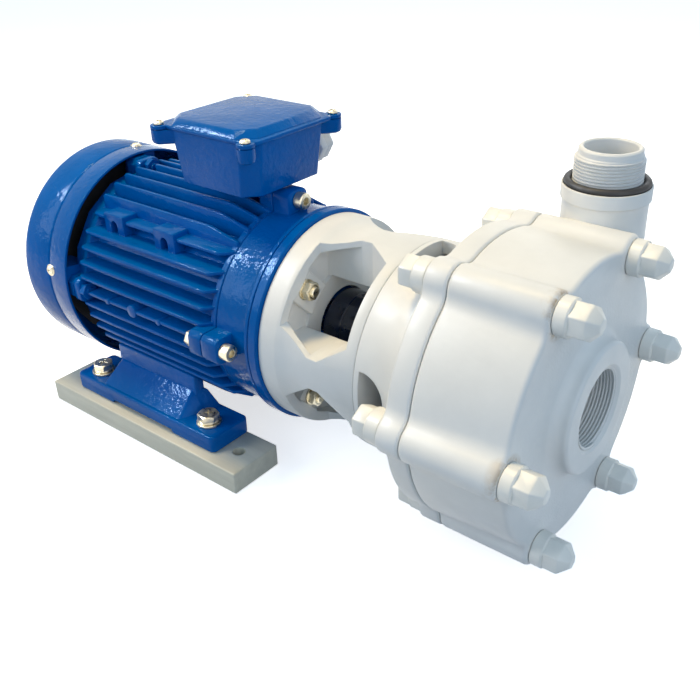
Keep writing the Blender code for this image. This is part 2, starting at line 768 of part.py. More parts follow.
def rear_end_shield():
    """Rear bearing shield, with its four screws and the bosses that the cowl is screwed to."""
    face = HOUSING_REAR_X - GAP
    spigot = CORE_R - GAP
    back = face - REAR_SHIELD_THICK
    seat = BEARING_R + GAP
    pocket = REAR_BEARING_X + BEARING_WIDTH + GAP
    body = turned(
        [
            (face + SHIELD_SPIGOT, spigot), (face, spigot), (face, HOUSING_RIM_R),
            (back, HOUSING_RIM_R), (back, BEARING_R + 0.012), (REAR_BEARING_X - 0.003, BEARING_R + 0.006),
            (REAR_BEARING_X - 0.003, MOTOR_SHAFT_R + 0.003), (REAR_BEARING_X - GAP, MOTOR_SHAFT_R + 0.003),
            (REAR_BEARING_X - GAP, seat), (pocket, seat),
            (face - 0.002, seat + 0.006), (face - 0.002, spigot - 0.008),
            (face + SHIELD_SPIGOT, spigot - 0.005),
        ],
        MEDIUM,
    )
    lugs = around(lug(REAR_LUG_R, LUG_WIDTH, back, face), LUG_ANGLES)
    nut_rear = HOUSING_REAR_X + REAR_LUG_LENGTH + GAP
    tip = nut_rear + STUD_NUT + 0.002
    screw = turned(
        [
            (back - SHIELD_BOLT_HEAD, 0.0), (back - SHIELD_BOLT_HEAD, SHIELD_BOLT_HEAD_R),
            (back + 0.001, SHIELD_BOLT_HEAD_R), (back + 0.001, SHIELD_BOLT_R),
            (tip, SHIELD_BOLT_R), (tip, 0.0),
        ],
        HOLE,
    )
    moved(screw, Matrix.Translation((0.0, REAR_LUG_BOLT_R, 0.0)))
    nut = prism(
        hexagon((REAR_LUG_BOLT_R, 0.0), STUD_NUT_AF), nut_rear, nut_rear + STUD_NUT,
    )
    bosses = []
    flats = (COWL_R - COWL_SHEET) * math.cos(math.pi / FINE)
    boss_tip = math.sqrt((flats - GAP) ** 2 - COWL_BOSS**2)
    for angle in LUG_ANGLES:
        outline = rectangle(
            COWL_BEAD_X - COWL_BOSS, back + 0.002, -COWL_BOSS, COWL_BOSS
        )
        boss = prism(outline, HOUSING_RIM_R - 0.012, boss_tip, "Y")
        bosses += around(boss, (angle - math.radians(8.0),))
    screws = around(union(screw, nut), LUG_ANGLES)
    return union(body, *lugs, *bosses, *screws)


def shield_screw():
    """Socket-head screw through the lugs of shield and housing, with its nut behind, on the +Y side."""
    head = SHIELD_LUG_FRONT_X + GAP
    nut_front = HOUSING_FRONT_X - LUG_LENGTH - GAP
    body = turned(
        [
            (nut_front - 0.0085, 0.0), (nut_front - 0.0085, SHIELD_BOLT_R), (head, SHIELD_BOLT_R),
            (head, SHIELD_BOLT_HEAD_R), (head + SHIELD_BOLT_HEAD - 0.0008, SHIELD_BOLT_HEAD_R),
            (head + SHIELD_BOLT_HEAD, SHIELD_BOLT_HEAD_R - 0.0008), (head + SHIELD_BOLT_HEAD, 0.0),
        ],
        COARSE,
    )
    nut = prism(hexagon((0.0, 0.0), STUD_NUT_AF), nut_front - STUD_NUT, nut_front)
    socket = prism(hexagon((0.0, 0.0), 0.006), head + 0.004, head + SHIELD_BOLT_HEAD + 0.01)
    body = cut(union(body, nut), socket)
    return moved(body, Matrix.Translation((0.0, LUG_BOLT_R, 0.0)))


def fan_cowl():
    """Sheet cowl, rounded into its back, which rings of slots open."""
    sheet = COWL_SHEET
    back = COWL_REAR_X
    inner = COWL_R - sheet
    body = turned(
        [
            (COWL_FRONT_X, 0.0), (COWL_FRONT_X, COWL_R), (back + COWL_ROUND, COWL_R), (back + COWL_ROUND * 0.3, COWL_R - COWL_ROUND * 0.3),
            (back, COWL_R - COWL_ROUND), (back, 0.0),
        ],
        FINE,
    )
    slots = []
    for radius in GRILLE_RINGS:
        rib = (GRILLE_RIB / 2) / radius
        for k in range(GRILLE_RIBS):
            start = math.tau * k / GRILLE_RIBS + rib
            end = math.tau * (k + 1) / GRILLE_RIBS - rib
            outline = arc((0.0, 0.0), radius + GRILLE_SLOT / 2, start, end, 3)
            outline += arc((0.0, 0.0), radius - GRILLE_SLOT / 2, end, start, 3)
            slots.append(prism(outline, back - 0.005, back + 0.005))
    hollow = turned(
        [
            (COWL_FRONT_X + 0.01, 0.0), (COWL_FRONT_X + 0.01, inner), (back + COWL_ROUND, inner),
            (back + COWL_ROUND * 0.3 + sheet * 0.7, COWL_R - COWL_ROUND * 0.3 - sheet * 0.7),
            (back + sheet, COWL_R - COWL_ROUND), (back + sheet, 0.0),
        ],
        FINE,
    )
    return cut(body, hollow, *slots)


def cooling_fan():
    """Radial fan: a hub on the rear end of the shaft, a back plate and straight blades."""
    rear = COWL_REAR_X + COWL_SHEET + 0.008
    front = rear + FAN_DEPTH
    bore = FAN_SEAT_R + GAP
    body = turned(
        [
            (rear, bore), (rear, FAN_HUB_R), (front - 0.003, FAN_HUB_R + 0.002),
            (front - 0.003, FAN_R), (front, FAN_R), (front, FAN_HUB_R), (front + 0.004, FAN_HUB_R - 0.002),
            (front + 0.004, bore),
        ],
        MEDIUM,
    )
    blade = loft(
        [
            (FAN_HUB_R - 0.002, rectangle(rear + 0.003, front - 0.001, -FAN_BLADE_THICK / 2,
                                          FAN_BLADE_THICK / 2)),
            (FAN_R, rectangle(rear, front - 0.001, -FAN_BLADE_THICK / 2, FAN_BLADE_THICK / 2)),
        ],
        "Y",
    )
    blades = around(blade, [math.tau * k / FAN_BLADES for k in range(FAN_BLADES)])
    return union(body, *blades)


def rotor_shaft():
    """Stepped shaft: fan seat, rear bearing, rotor seat, front bearing and the drive end."""
    rear = COWL_REAR_X + COWL_SHEET + 0.006
    seat = BEARING_BORE_R
    core_end = CORE_REAR_X + CORE_LENGTH
    return turned(
        [
            (rear, 0.0), (rear, FAN_SEAT_R - 0.001), (rear + 0.001, FAN_SEAT_R),
            (REAR_BEARING_X - 0.004, FAN_SEAT_R), (REAR_BEARING_X - 0.004, seat),
            (REAR_BEARING_X + BEARING_WIDTH + GAP, seat),
            (REAR_BEARING_X + BEARING_WIDTH + GAP, ROTOR_BORE_R + 0.001),
            (CORE_REAR_X - GAP, ROTOR_BORE_R + 0.001), (CORE_REAR_X - GAP, ROTOR_BORE_R),
            (core_end + 0.002, ROTOR_BORE_R), (FRONT_BEARING_X - GAP, ROTOR_BORE_R),
            (FRONT_BEARING_X - GAP, seat), (FRONT_BEARING_X + BEARING_WIDTH + 0.001, seat),
            (FRONT_BEARING_X + BEARING_WIDTH + 0.001, MOTOR_SHAFT_R),
            (SHAFT_EXTENSION - 0.001, MOTOR_SHAFT_R), (SHAFT_EXTENSION, MOTOR_SHAFT_R - 0.001),
            (SHAFT_EXTENSION, 0.0),
        ],
        MEDIUM,
    )


def rotor_core():
    front = CORE_REAR_X + CORE_LENGTH
    bore = ROTOR_BORE_R + GAP
    return turned(
        [
            (CORE_REAR_X, bore), (CORE_REAR_X, ROTOR_R - 0.012), (CORE_REAR_X - 0.008, ROTOR_R - 0.012),
            (CORE_REAR_X - 0.008, ROTOR_R - 0.003), (CORE_REAR_X, ROTOR_R - 0.003),
            (CORE_REAR_X, ROTOR_R), (front, ROTOR_R), (front, ROTOR_R - 0.003),
            (front + 0.008, ROTOR_R - 0.003), (front + 0.008, ROTOR_R - 0.012),
            (front, ROTOR_R - 0.012), (front, bore),
        ],
        MEDIUM,
    )


def bearing(rear):
    """Ball bearing with its two shields set back a little from the ring faces."""
    bore = around_flats(BEARING_BORE_R + GAP, MEDIUM)
    front = rear + BEARING_WIDTH
    inner = bore + 0.0042
    outer = BEARING_R - 0.0042
    return turned(
        [
            (rear, bore), (rear, inner), (rear + 0.001, (inner + outer) / 2), (rear, outer),
            (rear, BEARING_R), (front, BEARING_R), (front, outer),
            (front - 0.001, (inner + outer) / 2), (front, inner), (front, bore),
        ],
        MEDIUM,
    )


def ear_places():
    return [
        (BOX_X + sign_x * LID_SCREW_X, sign_y * LID_SCREW_Y)
        for sign_x in (-1, 1) for sign_y in (-1, 1)
    ]


def ear_plan(x, y, radius):
    """A screw ear in plan: round outside its screw and running back into the corner of the box."""
    out = math.atan2(y, x - BOX_X)
    back = LID_EAR_R * 2.4
    outline = arc((x, y), radius, out - math.pi / 2, out + math.pi / 2, 8)
    for side in (math.pi / 2, -math.pi / 2):
        outline.append((
            x - back * math.cos(out) + radius * math.cos(out + side),
            y - back * math.sin(out) + radius * math.sin(out + side),
        ))
    return outline


def terminal_box():
    """Flared box with chamfered corners, screw ears with rounded undersides and an open top."""
    low = BOX_FLOOR_Z
    top = BOX_TOP_Z

    def plan(half_x, half_y, corner):
        return rectangle(BOX_X - half_x, BOX_X + half_x, -half_y, half_y, corner)

    body = loft([
        (low, plan(BOX_FOOT_HALF_X, BOX_FOOT_HALF_Y, BOX_CORNER)),
        (top, plan(BOX_HALF_X, BOX_HALF_Y, BOX_CORNER)),
    ], "Z")
    ears = []
    for x, y in ear_places():
        ears.append(loft([
            (top - LID_EAR_DEPTH, ear_plan(x, y, LID_EAR_R * 0.45)),
            (top - LID_EAR_DEPTH + LID_EAR_R * 0.5, ear_plan(x, y, LID_EAR_R)),
            (top, ear_plan(x, y, LID_EAR_R)),
        ], "Z"))
    body = union(body, *ears)
    wall = BOX_WALL
    cavity = loft([
        (low + BOX_FLOOR, plan(BOX_FOOT_HALF_X - wall, BOX_FOOT_HALF_Y - wall, BOX_CORNER)),
        (top + 0.002, plan(BOX_HALF_X - wall, BOX_HALF_Y - wall, BOX_CORNER)),
    ], "Z")
    lead_hole = prism(disc((BOX_X, 0.0), LEAD_HOLE_R), low - 0.01, low + BOX_FLOOR + 0.01, "Z")
    gland_hole = prism(
        round_hole((BOX_X + GLAND_X, low + GLAND_Z), GLAND_R), BOX_FOOT_HALF_Y - 0.012,
        BOX_HALF_Y + 0.01, "Y",
    )
    screws = []
    for x, y in ear_places():
        hole = round_hole((x, y), LID_SCREW_R)
        screws.append(prism(hole, top - 0.012, top + 0.01, "Z"))
    return cut(body, cavity, lead_hole, gland_hole, *screws)


def terminal_box_lid():
    """Lid with a flat rim, sloped sides up to its raised panel and an ear at each screw."""
    low = LID_BOTTOM_Z

    def plan(half_x, half_y, corner):
        return rectangle(BOX_X - half_x, BOX_X + half_x, -half_y, half_y, corner)

    rim = plan(LID_HALF_X, LID_HALF_Y, BOX_CORNER * 0.8)
    shoulder = plan(LID_HALF_X - 0.006, LID_HALF_Y - 0.003, BOX_CORNER)
    panel = plan(LID_TOP_HALF_X, LID_TOP_HALF_Y, BOX_CORNER)
    body = loft([
        (low, rim), (low + LID_RIM, rim), (low + LID_RIM + 0.0008, shoulder),
        (low + LID_RIM + LID_RISE - 0.0008, panel),
        (low + LID_RIM + LID_RISE, plan(LID_TOP_HALF_X - 0.001, LID_TOP_HALF_Y - 0.001, BOX_CORNER)),
    ], "Z")
    ears = []
    holes = []
    recesses = []
    seat = low + LID_RIM
    for x, y in ear_places():
        ears.append(prism(ear_plan(x, y, LID_EAR_R), low, seat, "Z"))
        recesses.append(prism(disc((x, y), LID_EAR_R - 0.001), seat, seat + 0.02, "Z"))
        holes.append(prism(round_hole((x, y), LID_SCREW_R), low - 0.01, seat + 0.01, "Z"))
    return cut(union(body, *ears), *recesses, *holes)


def lid_screw():
    seat = LID_BOTTOM_Z + LID_RIM + GAP
    top = seat + LID_SCREW_HEAD
    return upright(
        turned(
            [
                (BOX_TOP_Z - 0.010, 0.0), (BOX_TOP_Z - 0.010, LID_SCREW_R), (seat, LID_SCREW_R),
                (seat, LID_SCREW_HEAD_R), (top - 0.001, LID_SCREW_HEAD_R),
                (top, LID_SCREW_HEAD_R * 0.6), (top, 0.0),
            ],
            HOLE,
        ),
        0.0, 0.0,
    )


def cable_gland():
    """Gland in the box's far wall: a threaded shank, a hex flange and a domed hex nut."""
    x = BOX_X + GLAND_X
    z = BOX_FLOOR_Z + GLAND_Z
    share = GLAND_Z / BOX_HEIGHT
    wall = BOX_FOOT_HALF_Y + (BOX_HALF_Y - BOX_FOOT_HALF_Y) * share
    face = BOX_HALF_Y + GAP
    end = face + GLAND_FLANGE + GLAND_NUT
    shank = prism(disc((x, z), GLAND_R), wall - 0.009, face + 0.002, "Y")
    flange = prism(hexagon((x, z), GLAND_AF + 0.002), face, face + GLAND_FLANGE, "Y")
    nut = loft([
        (face + GLAND_FLANGE - 0.0005, hexagon((x, z), GLAND_AF)),
        (face + GLAND_FLANGE + GLAND_NUT * 0.5, hexagon((x, z), GLAND_AF)),
        (end, hexagon((x, z), GLAND_AF * 0.62)),
    ], "Y")
    bore = prism(disc((x, z), GLAND_BORE_R), wall - 0.02, end + 0.01, "Y")
    return cut(union(shank, flange, nut), bore)


def terminal_board():
    low = BOX_FLOOR_Z + BOX_FLOOR + GAP
    top = low + BOARD_THICK
    body = prism(
        rectangle(BOX_X - BOARD_HALF_X, BOX_X + BOARD_HALF_X, -BOARD_HALF_Y, BOARD_HALF_Y, 0.002),
        low, top, "Z",
    )
    studs = []
    for k in (-1, 0, 1):
        for side in (-1, 1):
            place = (BOX_X + k * STUD_PITCH, side * STUD_PITCH / 2)
            studs.append(prism(disc(place, STUD_R, HOLE), top - 0.002, top + STUD_HEIGHT, "Z"))
    return union(body, *studs)


def sector_pocket(side):
    """Undercut beside a stud pad, seen on the +Y side: bounded by the pad, the shell and the hub."""
    near = STUD_PAD_WIDTH / 2
    far = WINDOW_END / 2 + 0.003
    shell = LANTERN_WAIST_R - LANTERN_SHELL
    hub = LANTERN_BORE_R - 0.001
    edge = math.asin(far / shell)
    outer = arc((0.0, 0.0), shell, math.asin(near / shell), edge, 3)
    inner = arc((0.0, 0.0), hub, edge, math.asin(near / hub), 2)
    outline = [(y, side * z) for y, z in outer + inner]
    return prism(outline, LANTERN_WALL_X, WINDOW_X - WINDOW_LENGTH / 2 + 0.004)


def lantern():
    """Window housing between motor and pump: a turned wall opened by four radial octagons, with a
    pad for each flange stud on its rear wall."""
    rear = GAP
    front = LANTERN_LENGTH
    step = NECK_SPIGOT + GAP
    body = turned(
        [
            (rear, PILOT_R + GAP), (rear, LANTERN_R), (LANTERN_STEP_X, LANTERN_R),
            (LANTERN_STEP_X + (LANTERN_WAIST_X - LANTERN_STEP_X) * 0.5,
             LANTERN_R - (LANTERN_R - LANTERN_WAIST_R) * 0.65),
            (LANTERN_WAIST_X, LANTERN_WAIST_R), (front, LANTERN_NOSE_R),
            (front, NECK_SPIGOT_R + GAP), (front - step, NECK_SPIGOT_R + GAP),
            (front - step, LANTERN_BORE_R), (LANTERN_WALL_X, LANTERN_BORE_R),
            (LANTERN_WALL_X, LANTERN_BORE_R - 0.006), (HUB_X, LANTERN_BORE_R - 0.006),
            (HUB_X, LANTERN_HOLE_R), (PILOT_LENGTH + 2 * GAP, LANTERN_HOLE_R),
            (PILOT_LENGTH + 2 * GAP, PILOT_R + GAP),
        ],
        FINE,
    )
    half = WINDOW_LENGTH / 2
    flat = WINDOW_FLAT / 2
    outline = [
        (WINDOW_X - half, -WINDOW_END / 2), (WINDOW_X - flat, -WINDOW_SPAN / 2),
        (WINDOW_X + flat, -WINDOW_SPAN / 2), (WINDOW_X + half, -WINDOW_END / 2),
        (WINDOW_X + half, WINDOW_END / 2), (WINDOW_X + flat, WINDOW_SPAN / 2),
        (WINDOW_X - flat, WINDOW_SPAN / 2), (WINDOW_X - half, WINDOW_END / 2),
    ]
    windows = around(prism(outline, 0.030, LANTERN_R + 0.02, "Y"), WINDOW_ANGLES)
    pad_recess = prism(
        rectangle(STUD_PAD_X, WINDOW_X - half + 0.004, -STUD_PAD_WIDTH / 2 - 0.0005,
                  STUD_PAD_WIDTH / 2 + 0.0005), LANTERN_BORE_R - 0.002,
        LANTERN_WAIST_R - LANTERN_SHELL - 0.001, "Y",
    )
    stud = bolt_hole(STUD_BOLT_R, STUD_CIRCLE_R, rear, STUD_PAD_X)
    pockets = around(sector_pocket(1), WINDOW_ANGLES) + around(sector_pocket(-1), WINDOW_ANGLES)
    recesses = around(pad_recess, WINDOW_ANGLES)
    studs = around(stud, WINDOW_ANGLES)
    body = cut(body, *windows)
    return cut(body, *pockets, *recesses, *studs)


def lantern_nut():
    """Flange stud with its washer and hex nut, on the +Y side."""
    seat = STUD_PAD_X + GAP
    nut = seat + STUD_WASHER
    tip = nut + STUD_NUT + 0.002
    body = turned(
        [
            (-STUD_DEPTH, 0.0), (-STUD_DEPTH, STUD_BOLT_R), (seat, STUD_BOLT_R),
            (seat, STUD_WASHER_R), (nut + 0.0001, STUD_WASHER_R), (nut + 0.0001, STUD_BOLT_R),
            (tip - 0.001, STUD_BOLT_R), (tip, STUD_BOLT_R - 0.001), (tip, 0.0),
        ],
        COARSE,
    )
    hexes = prism(hexagon((0.0, 0.0), STUD_NUT_AF), nut - 0.0004, nut + STUD_NUT)
    return moved(union(body, hexes), Matrix.Translation((0.0, STUD_CIRCLE_R, 0.0)))


def coupling_sleeve():
    """Sleeve on the motor shaft that runs on as the stub shaft of the impeller."""
    body = turned(
        [
            (SLEEVE_X, 0.0), (SLEEVE_X, SLEEVE_R - 0.001), (SLEEVE_X + 0.001, SLEEVE_R),
            (SLEEVE_END_X - 0.002, SLEEVE_R), (SLEEVE_END_X, SLEEVE_R - 0.002),
            (SLEEVE_END_X, STUB_R), (STUB_SHOULDER_X, STUB_R), (STUB_SHOULDER_X, STUB_NOSE_R),
            (STUB_NOSE_X - 0.001, STUB_NOSE_R), (STUB_NOSE_X, STUB_NOSE_R - 0.001),
            (STUB_NOSE_X, 0.0),
        ],
        MEDIUM,
    )
    bore = disc((0.0, 0.0), MOTOR_SHAFT_R + GAP, MEDIUM)
    return cut(body, prism(bore, SLEEVE_X - 0.01, SHAFT_EXTENSION + 0.002))


def rear_casing():
    """Back half of the casing: the ported neck, the seal chamber wall and the lobed flange."""
    start = LANTERN_LENGTH + GAP
    flange = REAR_FLANGE_X
    inner = NECK_R - NECK_WALL
    root = BOLT_CIRCLE_R - BOLT_COLLAR_R - COLLAR_ROOM
    seat = SEAT_R + GAP
    neck = turned(
        [
            (start - NECK_SPIGOT, SEAL_COVER_R + 0.003), (start - NECK_SPIGOT, NECK_SPIGOT_R),
            (start, NECK_SPIGOT_R), (start, NECK_R), (NECK_ROOT_X, NECK_R),
            (NECK_ROOT_X + (flange - NECK_ROOT_X) * 0.6, NECK_R + (root - NECK_R) * 0.3),
            (flange + 0.001, root), (PARTING_X - 0.001, root),
            (PARTING_X - 0.001, SEAT_BORE_R + 0.004), (SEAT_X - 0.0003, SEAT_BORE_R + 0.004),
            (SEAT_X - 0.0003, seat - 0.002), (REAR_WALL_X, seat - 0.002), (REAR_WALL_X, inner),
            (start + NECK_LIP, inner), (start + NECK_LIP, SEAL_COVER_R + 0.003),
        ],
        FINE,
    )
    outline = lobed(CASING_R, LOBE_R, LOBE_FILLET)
    rim = lobed(CASING_R - 0.0015, LOBE_R - 0.0015, LOBE_FILLET + 0.0015)
    plate = loft([(flange, rim), (flange + 0.0015, outline), (PARTING_X, outline)])
    body = union(neck, plate)
    chamber = turned(
        [
            (IMPELLER_BACK_X, 0.0), (IMPELLER_BACK_X, IMPELLER_R + PILOT_CLEAR),
            (PARTING_X + 0.01, IMPELLER_R + PILOT_CLEAR), (PARTING_X + 0.01, 0.0),
        ],
        FINE,
    )
    seat_bore = prism(disc((0.0, 0.0), seat, MEDIUM), SEAT_X - GAP, PARTING_X)
    shaft_bore = prism(disc((0.0, 0.0), SEAT_BORE_R + 0.0065, MEDIUM), REAR_WALL_X - 0.01, PARTING_X)
    groove = turned(
        [
            (PARTING_X - 2 * O_RING_R - GAP, O_RING_CIRCLE_R - O_RING_R - GAP),
            (PARTING_X - 2 * O_RING_R - GAP, O_RING_CIRCLE_R + O_RING_R + GAP),
            (PARTING_X + 0.005, O_RING_CIRCLE_R + O_RING_R + GAP),
            (PARTING_X + 0.005, O_RING_CIRCLE_R - O_RING_R - GAP),
        ],
        FINE,
    )
    half = NECK_WINDOW_WIDTH / 2
    rise = NECK_WINDOW_LENGTH - half
    arch = [(NECK_WINDOW_X, -half), (NECK_WINDOW_X, half)]
    arch += [(NECK_WINDOW_X + max(rise, 0.002) + x, y) for x, y in
             arc((0.0, 0.0), half, math.pi / 2, -math.pi / 2, 10)]
    ports = around(prism(arch, SEAL_COVER_R + 0.006, NECK_R + 0.02, "Y"), LUG_ANGLES)
    holes = around(bolt_hole(TIE_BOLT_R, BOLT_CIRCLE_R, flange, PARTING_X), BOLT_ANGLES)
    return cut(body, chamber, seat_bore, shaft_bore, groove, *ports, *holes)


def volute():
    """Chamber of the front half, its wall spiralling out towards the discharge."""
    outline = []
    steps = 30
    start = math.radians(20.0)
    for k in range(steps):
        share = k / steps
        radius = VOLUTE_END_R + (VOLUTE_START_R - VOLUTE_END_R) * share
        angle = start + math.tau * share
        outline.append((radius * math.cos(angle), radius * math.sin(angle)))
    return prism(outline, PARTING_X - 0.01, CHAMBER_X)


def front_casing():
    """Front half of the casing: the lobed volute body, the suction boss and the discharge branch."""
    rear = PARTING_X + GAP
    front = CASING_FRONT_X
    edge = CASING_EDGE
    fillet = LOBE_FILLET
    sections = [
        (rear, lobed(CASING_R, LOBE_R, fillet)),
        (front - edge, lobed(CASING_FRONT_R, LOBE_R, fillet)),
        (front, lobed(CASING_FRONT_R - edge, LOBE_R - edge, fillet + edge)),
    ]
    body = loft(sections)
    face = SUCTION_FACE_X
    boss_r = SUCTION_BOSS_R
    curve = arc((front + SUCTION_FILLET, boss_r + SUCTION_FILLET), SUCTION_FILLET, math.pi,
                math.pi * 1.5, 4)
    boss = turned(
        [(front - 0.01, 0.0), (front - 0.01, boss_r + SUCTION_FILLET + 0.001)]
        + [(x, r) for x, r in [(front - 0.0005, boss_r + SUCTION_FILLET + 0.001)] + curve]
        + [
            (face - SUCTION_BOSS_ROUND, boss_r),
            (face - SUCTION_BOSS_ROUND * 0.3, boss_r - SUCTION_BOSS_ROUND * 0.3),
            (face, boss_r - SUCTION_BOSS_ROUND), (face, 0.0),
        ],
        FINE,
    )
    branch = upright(
        turned(
            [
                (DISCHARGE_FOOT_Z, 0.0), (DISCHARGE_FOOT_Z, DISCHARGE_FOOT_R),
                (DISCHARGE_BLEND_Z - 0.008, DISCHARGE_ROOT_R - 0.002),
                (DISCHARGE_BLEND_Z, DISCHARGE_ROOT_R), (DISCHARGE_COLLAR_Z, DISCHARGE_R),
                (DISCHARGE_COLLAR_Z + 0.0008, DISCHARGE_COLLAR_R),
                (DISCHARGE_TOP_Z - 0.0008, DISCHARGE_COLLAR_R),
                (DISCHARGE_TOP_Z, DISCHARGE_COLLAR_R - 0.0008), (DISCHARGE_TOP_Z, 0.0),
            ],
            FINE,
        ),
        DISCHARGE_X, DISCHARGE_Y,
    )
    body = union(body, boss, branch)
    suction = turned(
        [
            (CHAMBER_X - 0.005, 0.0), (CHAMBER_X - 0.005, SUCTION_EYE_R + 0.004),
            (CHAMBER_X + 0.001, SUCTION_EYE_R + 0.004), (face - SUCTION_THREAD_DEPTH, SUCTION_EYE_R + 0.004),
            (face - SUCTION_THREAD_DEPTH + 0.001, SUCTION_THREAD_R),
            (face - (SUCTION_MOUTH_R - SUCTION_THREAD_R) * 0.7, SUCTION_THREAD_R),
            (face, SUCTION_MOUTH_R), (face + 0.01, SUCTION_MOUTH_R), (face + 0.01, 0.0),
        ],
        FINE,
    )
    seal = NIPPLE_R + GAP
    outlet = upright(
        turned(
            [
                (DISCHARGE_BORE_Z, 0.0), (DISCHARGE_BORE_Z, DISCHARGE_BORE_R - 0.004),
                (DISCHARGE_BORE_Z + 0.006, DISCHARGE_BORE_R), (NIPPLE_SEAT_Z - GAP, DISCHARGE_BORE_R),
                (NIPPLE_SEAT_Z - GAP, seal), (DISCHARGE_TOP_Z - NIPPLE_SEAL_DEPTH, seal),
                (DISCHARGE_TOP_Z - NIPPLE_SEAL_DEPTH, seal + 2 * NIPPLE_SEAL_R + GAP),
                (DISCHARGE_TOP_Z + 0.01, seal + 2 * NIPPLE_SEAL_R + GAP), (DISCHARGE_TOP_Z + 0.01, 0.0),
            ],
            FINE,
        ),
        DISCHARGE_X, DISCHARGE_Y,
    )
    holes = around(bolt_hole(TIE_BOLT_R, BOLT_CIRCLE_R, rear, front), BOLT_ANGLES)
    return cut(body, *holes, volute(), suction, outlet)


def o_ring(centre, circle, radius):
    return turned(disc((centre, circle), radius, 6), FINE)


def tie_bolt():
    """Long bolt on the +Y side, with a capped hex head and a round collar against the rear flange."""
    seat = REAR_FLANGE_X - GAP
    head = seat - BOLT_COLLAR
    end = head - BOLT_HEAD
    body = turned(
        [
            (head - 0.0005, 0.0), (head - 0.0005, BOLT_COLLAR_R - 0.001),
            (head + 0.0008, BOLT_COLLAR_R), (seat, BOLT_COLLAR_R), (seat, TIE_BOLT_R),
            (BOLT_TIP_X - 0.001, TIE_BOLT_R), (BOLT_TIP_X, TIE_BOLT_R - 0.001), (BOLT_TIP_X, 0.0),
        ],
        COARSE,
    )
    turn = math.pi / 6
    cap = loft([
        (end, hexagon((0.0, 0.0), BOLT_HEAD_AF * 0.88, turn)),
        (end + 0.0015, hexagon((0.0, 0.0), BOLT_HEAD_AF, turn)),
        (head, hexagon((0.0, 0.0), BOLT_HEAD_AF, turn)),
    ])
    return moved(union(body, cap), Matrix.Translation((0.0, BOLT_CIRCLE_R, 0.0)))


def cap_nut():
    """Plastic cap nut on the +Y side: a round collar, a hexagon and a blunt six-sided point."""
    seat = NUT_COLLAR_X
    hex_start = seat + NUT_COLLAR
    hex_end = hex_start + NUT_HEX
    turn = math.pi / 6
    collar = turned(
        [
            (seat, 0.0), (seat, BOLT_COLLAR_R), (hex_start - 0.0008, BOLT_COLLAR_R),
            (hex_start, BOLT_COLLAR_R - 0.0008), (hex_start, 0.0),
        ],
        COARSE,
    )
    cap = loft([
        (hex_start - 0.001, hexagon((0.0, 0.0), BOLT_HEAD_AF, turn)),
        (hex_end, hexagon((0.0, 0.0), BOLT_HEAD_AF, turn)),
        (NUT_TIP_X, hexagon((0.0, 0.0), 2 * NUT_TIP_R, turn)),
    ])
    bore = prism(round_hole((0.0, 0.0), TIE_BOLT_R), seat - 0.01, BOLT_TIP_X + GAP)
    return moved(cut(union(collar, cap), bore), Matrix.Translation((0.0, BOLT_CIRCLE_R, 0.0)))


def discharge_nipple():
    """Threaded stub of the discharge, its thread crest turned plain and its plain lead at the top."""
    top = NIPPLE_TOP_Z
    lead = top - NIPPLE_LEAD
    return upright(
        turned(
            [
                (NIPPLE_SEAT_Z, DISCHARGE_BORE_R), (NIPPLE_SEAT_Z, NIPPLE_R), (lead - 0.002, NIPPLE_R),
                (lead, NIPPLE_LEAD_R), (top - NIPPLE_CHAMFER, NIPPLE_LEAD_R),
                (top, NIPPLE_LEAD_R - NIPPLE_CHAMFER), (top, DISCHARGE_BORE_R),
            ],
            FINE,
        ),
        DISCHARGE_X, DISCHARGE_Y,
    )


def impeller():
    """Closed impeller: two shrouds with swept blades between them, its eye towards the suction port."""
    back = IMPELLER_X
    inside = back + IMPELLER_SHROUD
    front = inside + IMPELLER_WIDTH
    face = front + IMPELLER_SHROUD
    bore = STUB_NOSE_R + GAP
    hub_end = STUB_NOSE_X + 0.005
    hub = turned(
        [
            (back, 0.0), (back, IMPELLER_R), (inside, IMPELLER_R), (inside, IMPELLER_HUB_R + 0.006),
            (inside + 0.008, IMPELLER_HUB_R), (hub_end - 0.006, IMPELLER_HUB_R - 0.001),
            (hub_end, IMPELLER_HUB_R * 0.55), (hub_end, 0.0),
        ],
        MEDIUM,
    )
    shroud = turned(
        [
            (front, IMPELLER_EYE_R + 0.006), (front, IMPELLER_R), (face, IMPELLER_R),
            (face, IMPELLER_NECK_R + 0.002), (face + 0.002, IMPELLER_NECK_R),
            (face + IMPELLER_NECK, IMPELLER_NECK_R), (face + IMPELLER_NECK, IMPELLER_EYE_R),
            (front + 0.002, IMPELLER_EYE_R),
        ],
        MEDIUM,
    )
    steps = 5
    spine = []
    for k in range(steps + 1):
        share = k / steps
        radius = IMPELLER_HUB_R + 0.010 + (IMPELLER_R - 0.001 - IMPELLER_HUB_R - 0.010) * share
        spine.append((radius, -math.radians(62.0) * share))
    half = IMPELLER_BLADE_THICK / 2
    sides = [[], []]
    for radius, angle in spine:
        for side, sign in zip(sides, (1, -1)):
            swing = angle + sign * half / radius
            side.append((radius * math.cos(swing), radius * math.sin(swing)))
    blade = prism(sides[0] + sides[1][::-1], inside - 0.001, front + 0.001)
    blades = around(blade, [math.tau * k / IMPELLER_BLADES for k in range(IMPELLER_BLADES)])
    body = union(hub, *blades, shroud)
    return cut(body, prism(disc((0.0, 0.0), bore, MEDIUM), back - 0.01, STUB_NOSE_X + GAP))


def seal_rotary():
    """Rotating half of the shaft seal: a carrier on the stub shaft that presses on the seat."""
    rear = IMPELLER_BACK_X + GAP
    front = STUB_SHOULDER_X
    bore = STUB_R + GAP
    return turned(
        [
            (rear, bore), (rear, SEAL_RING_R - 0.004), (rear + 0.002, SEAL_RING_R - 0.004),
            (rear + 0.002, SEAL_RING_R), (front, SEAL_RING_R), (front, bore),
        ],
        MEDIUM,
    )


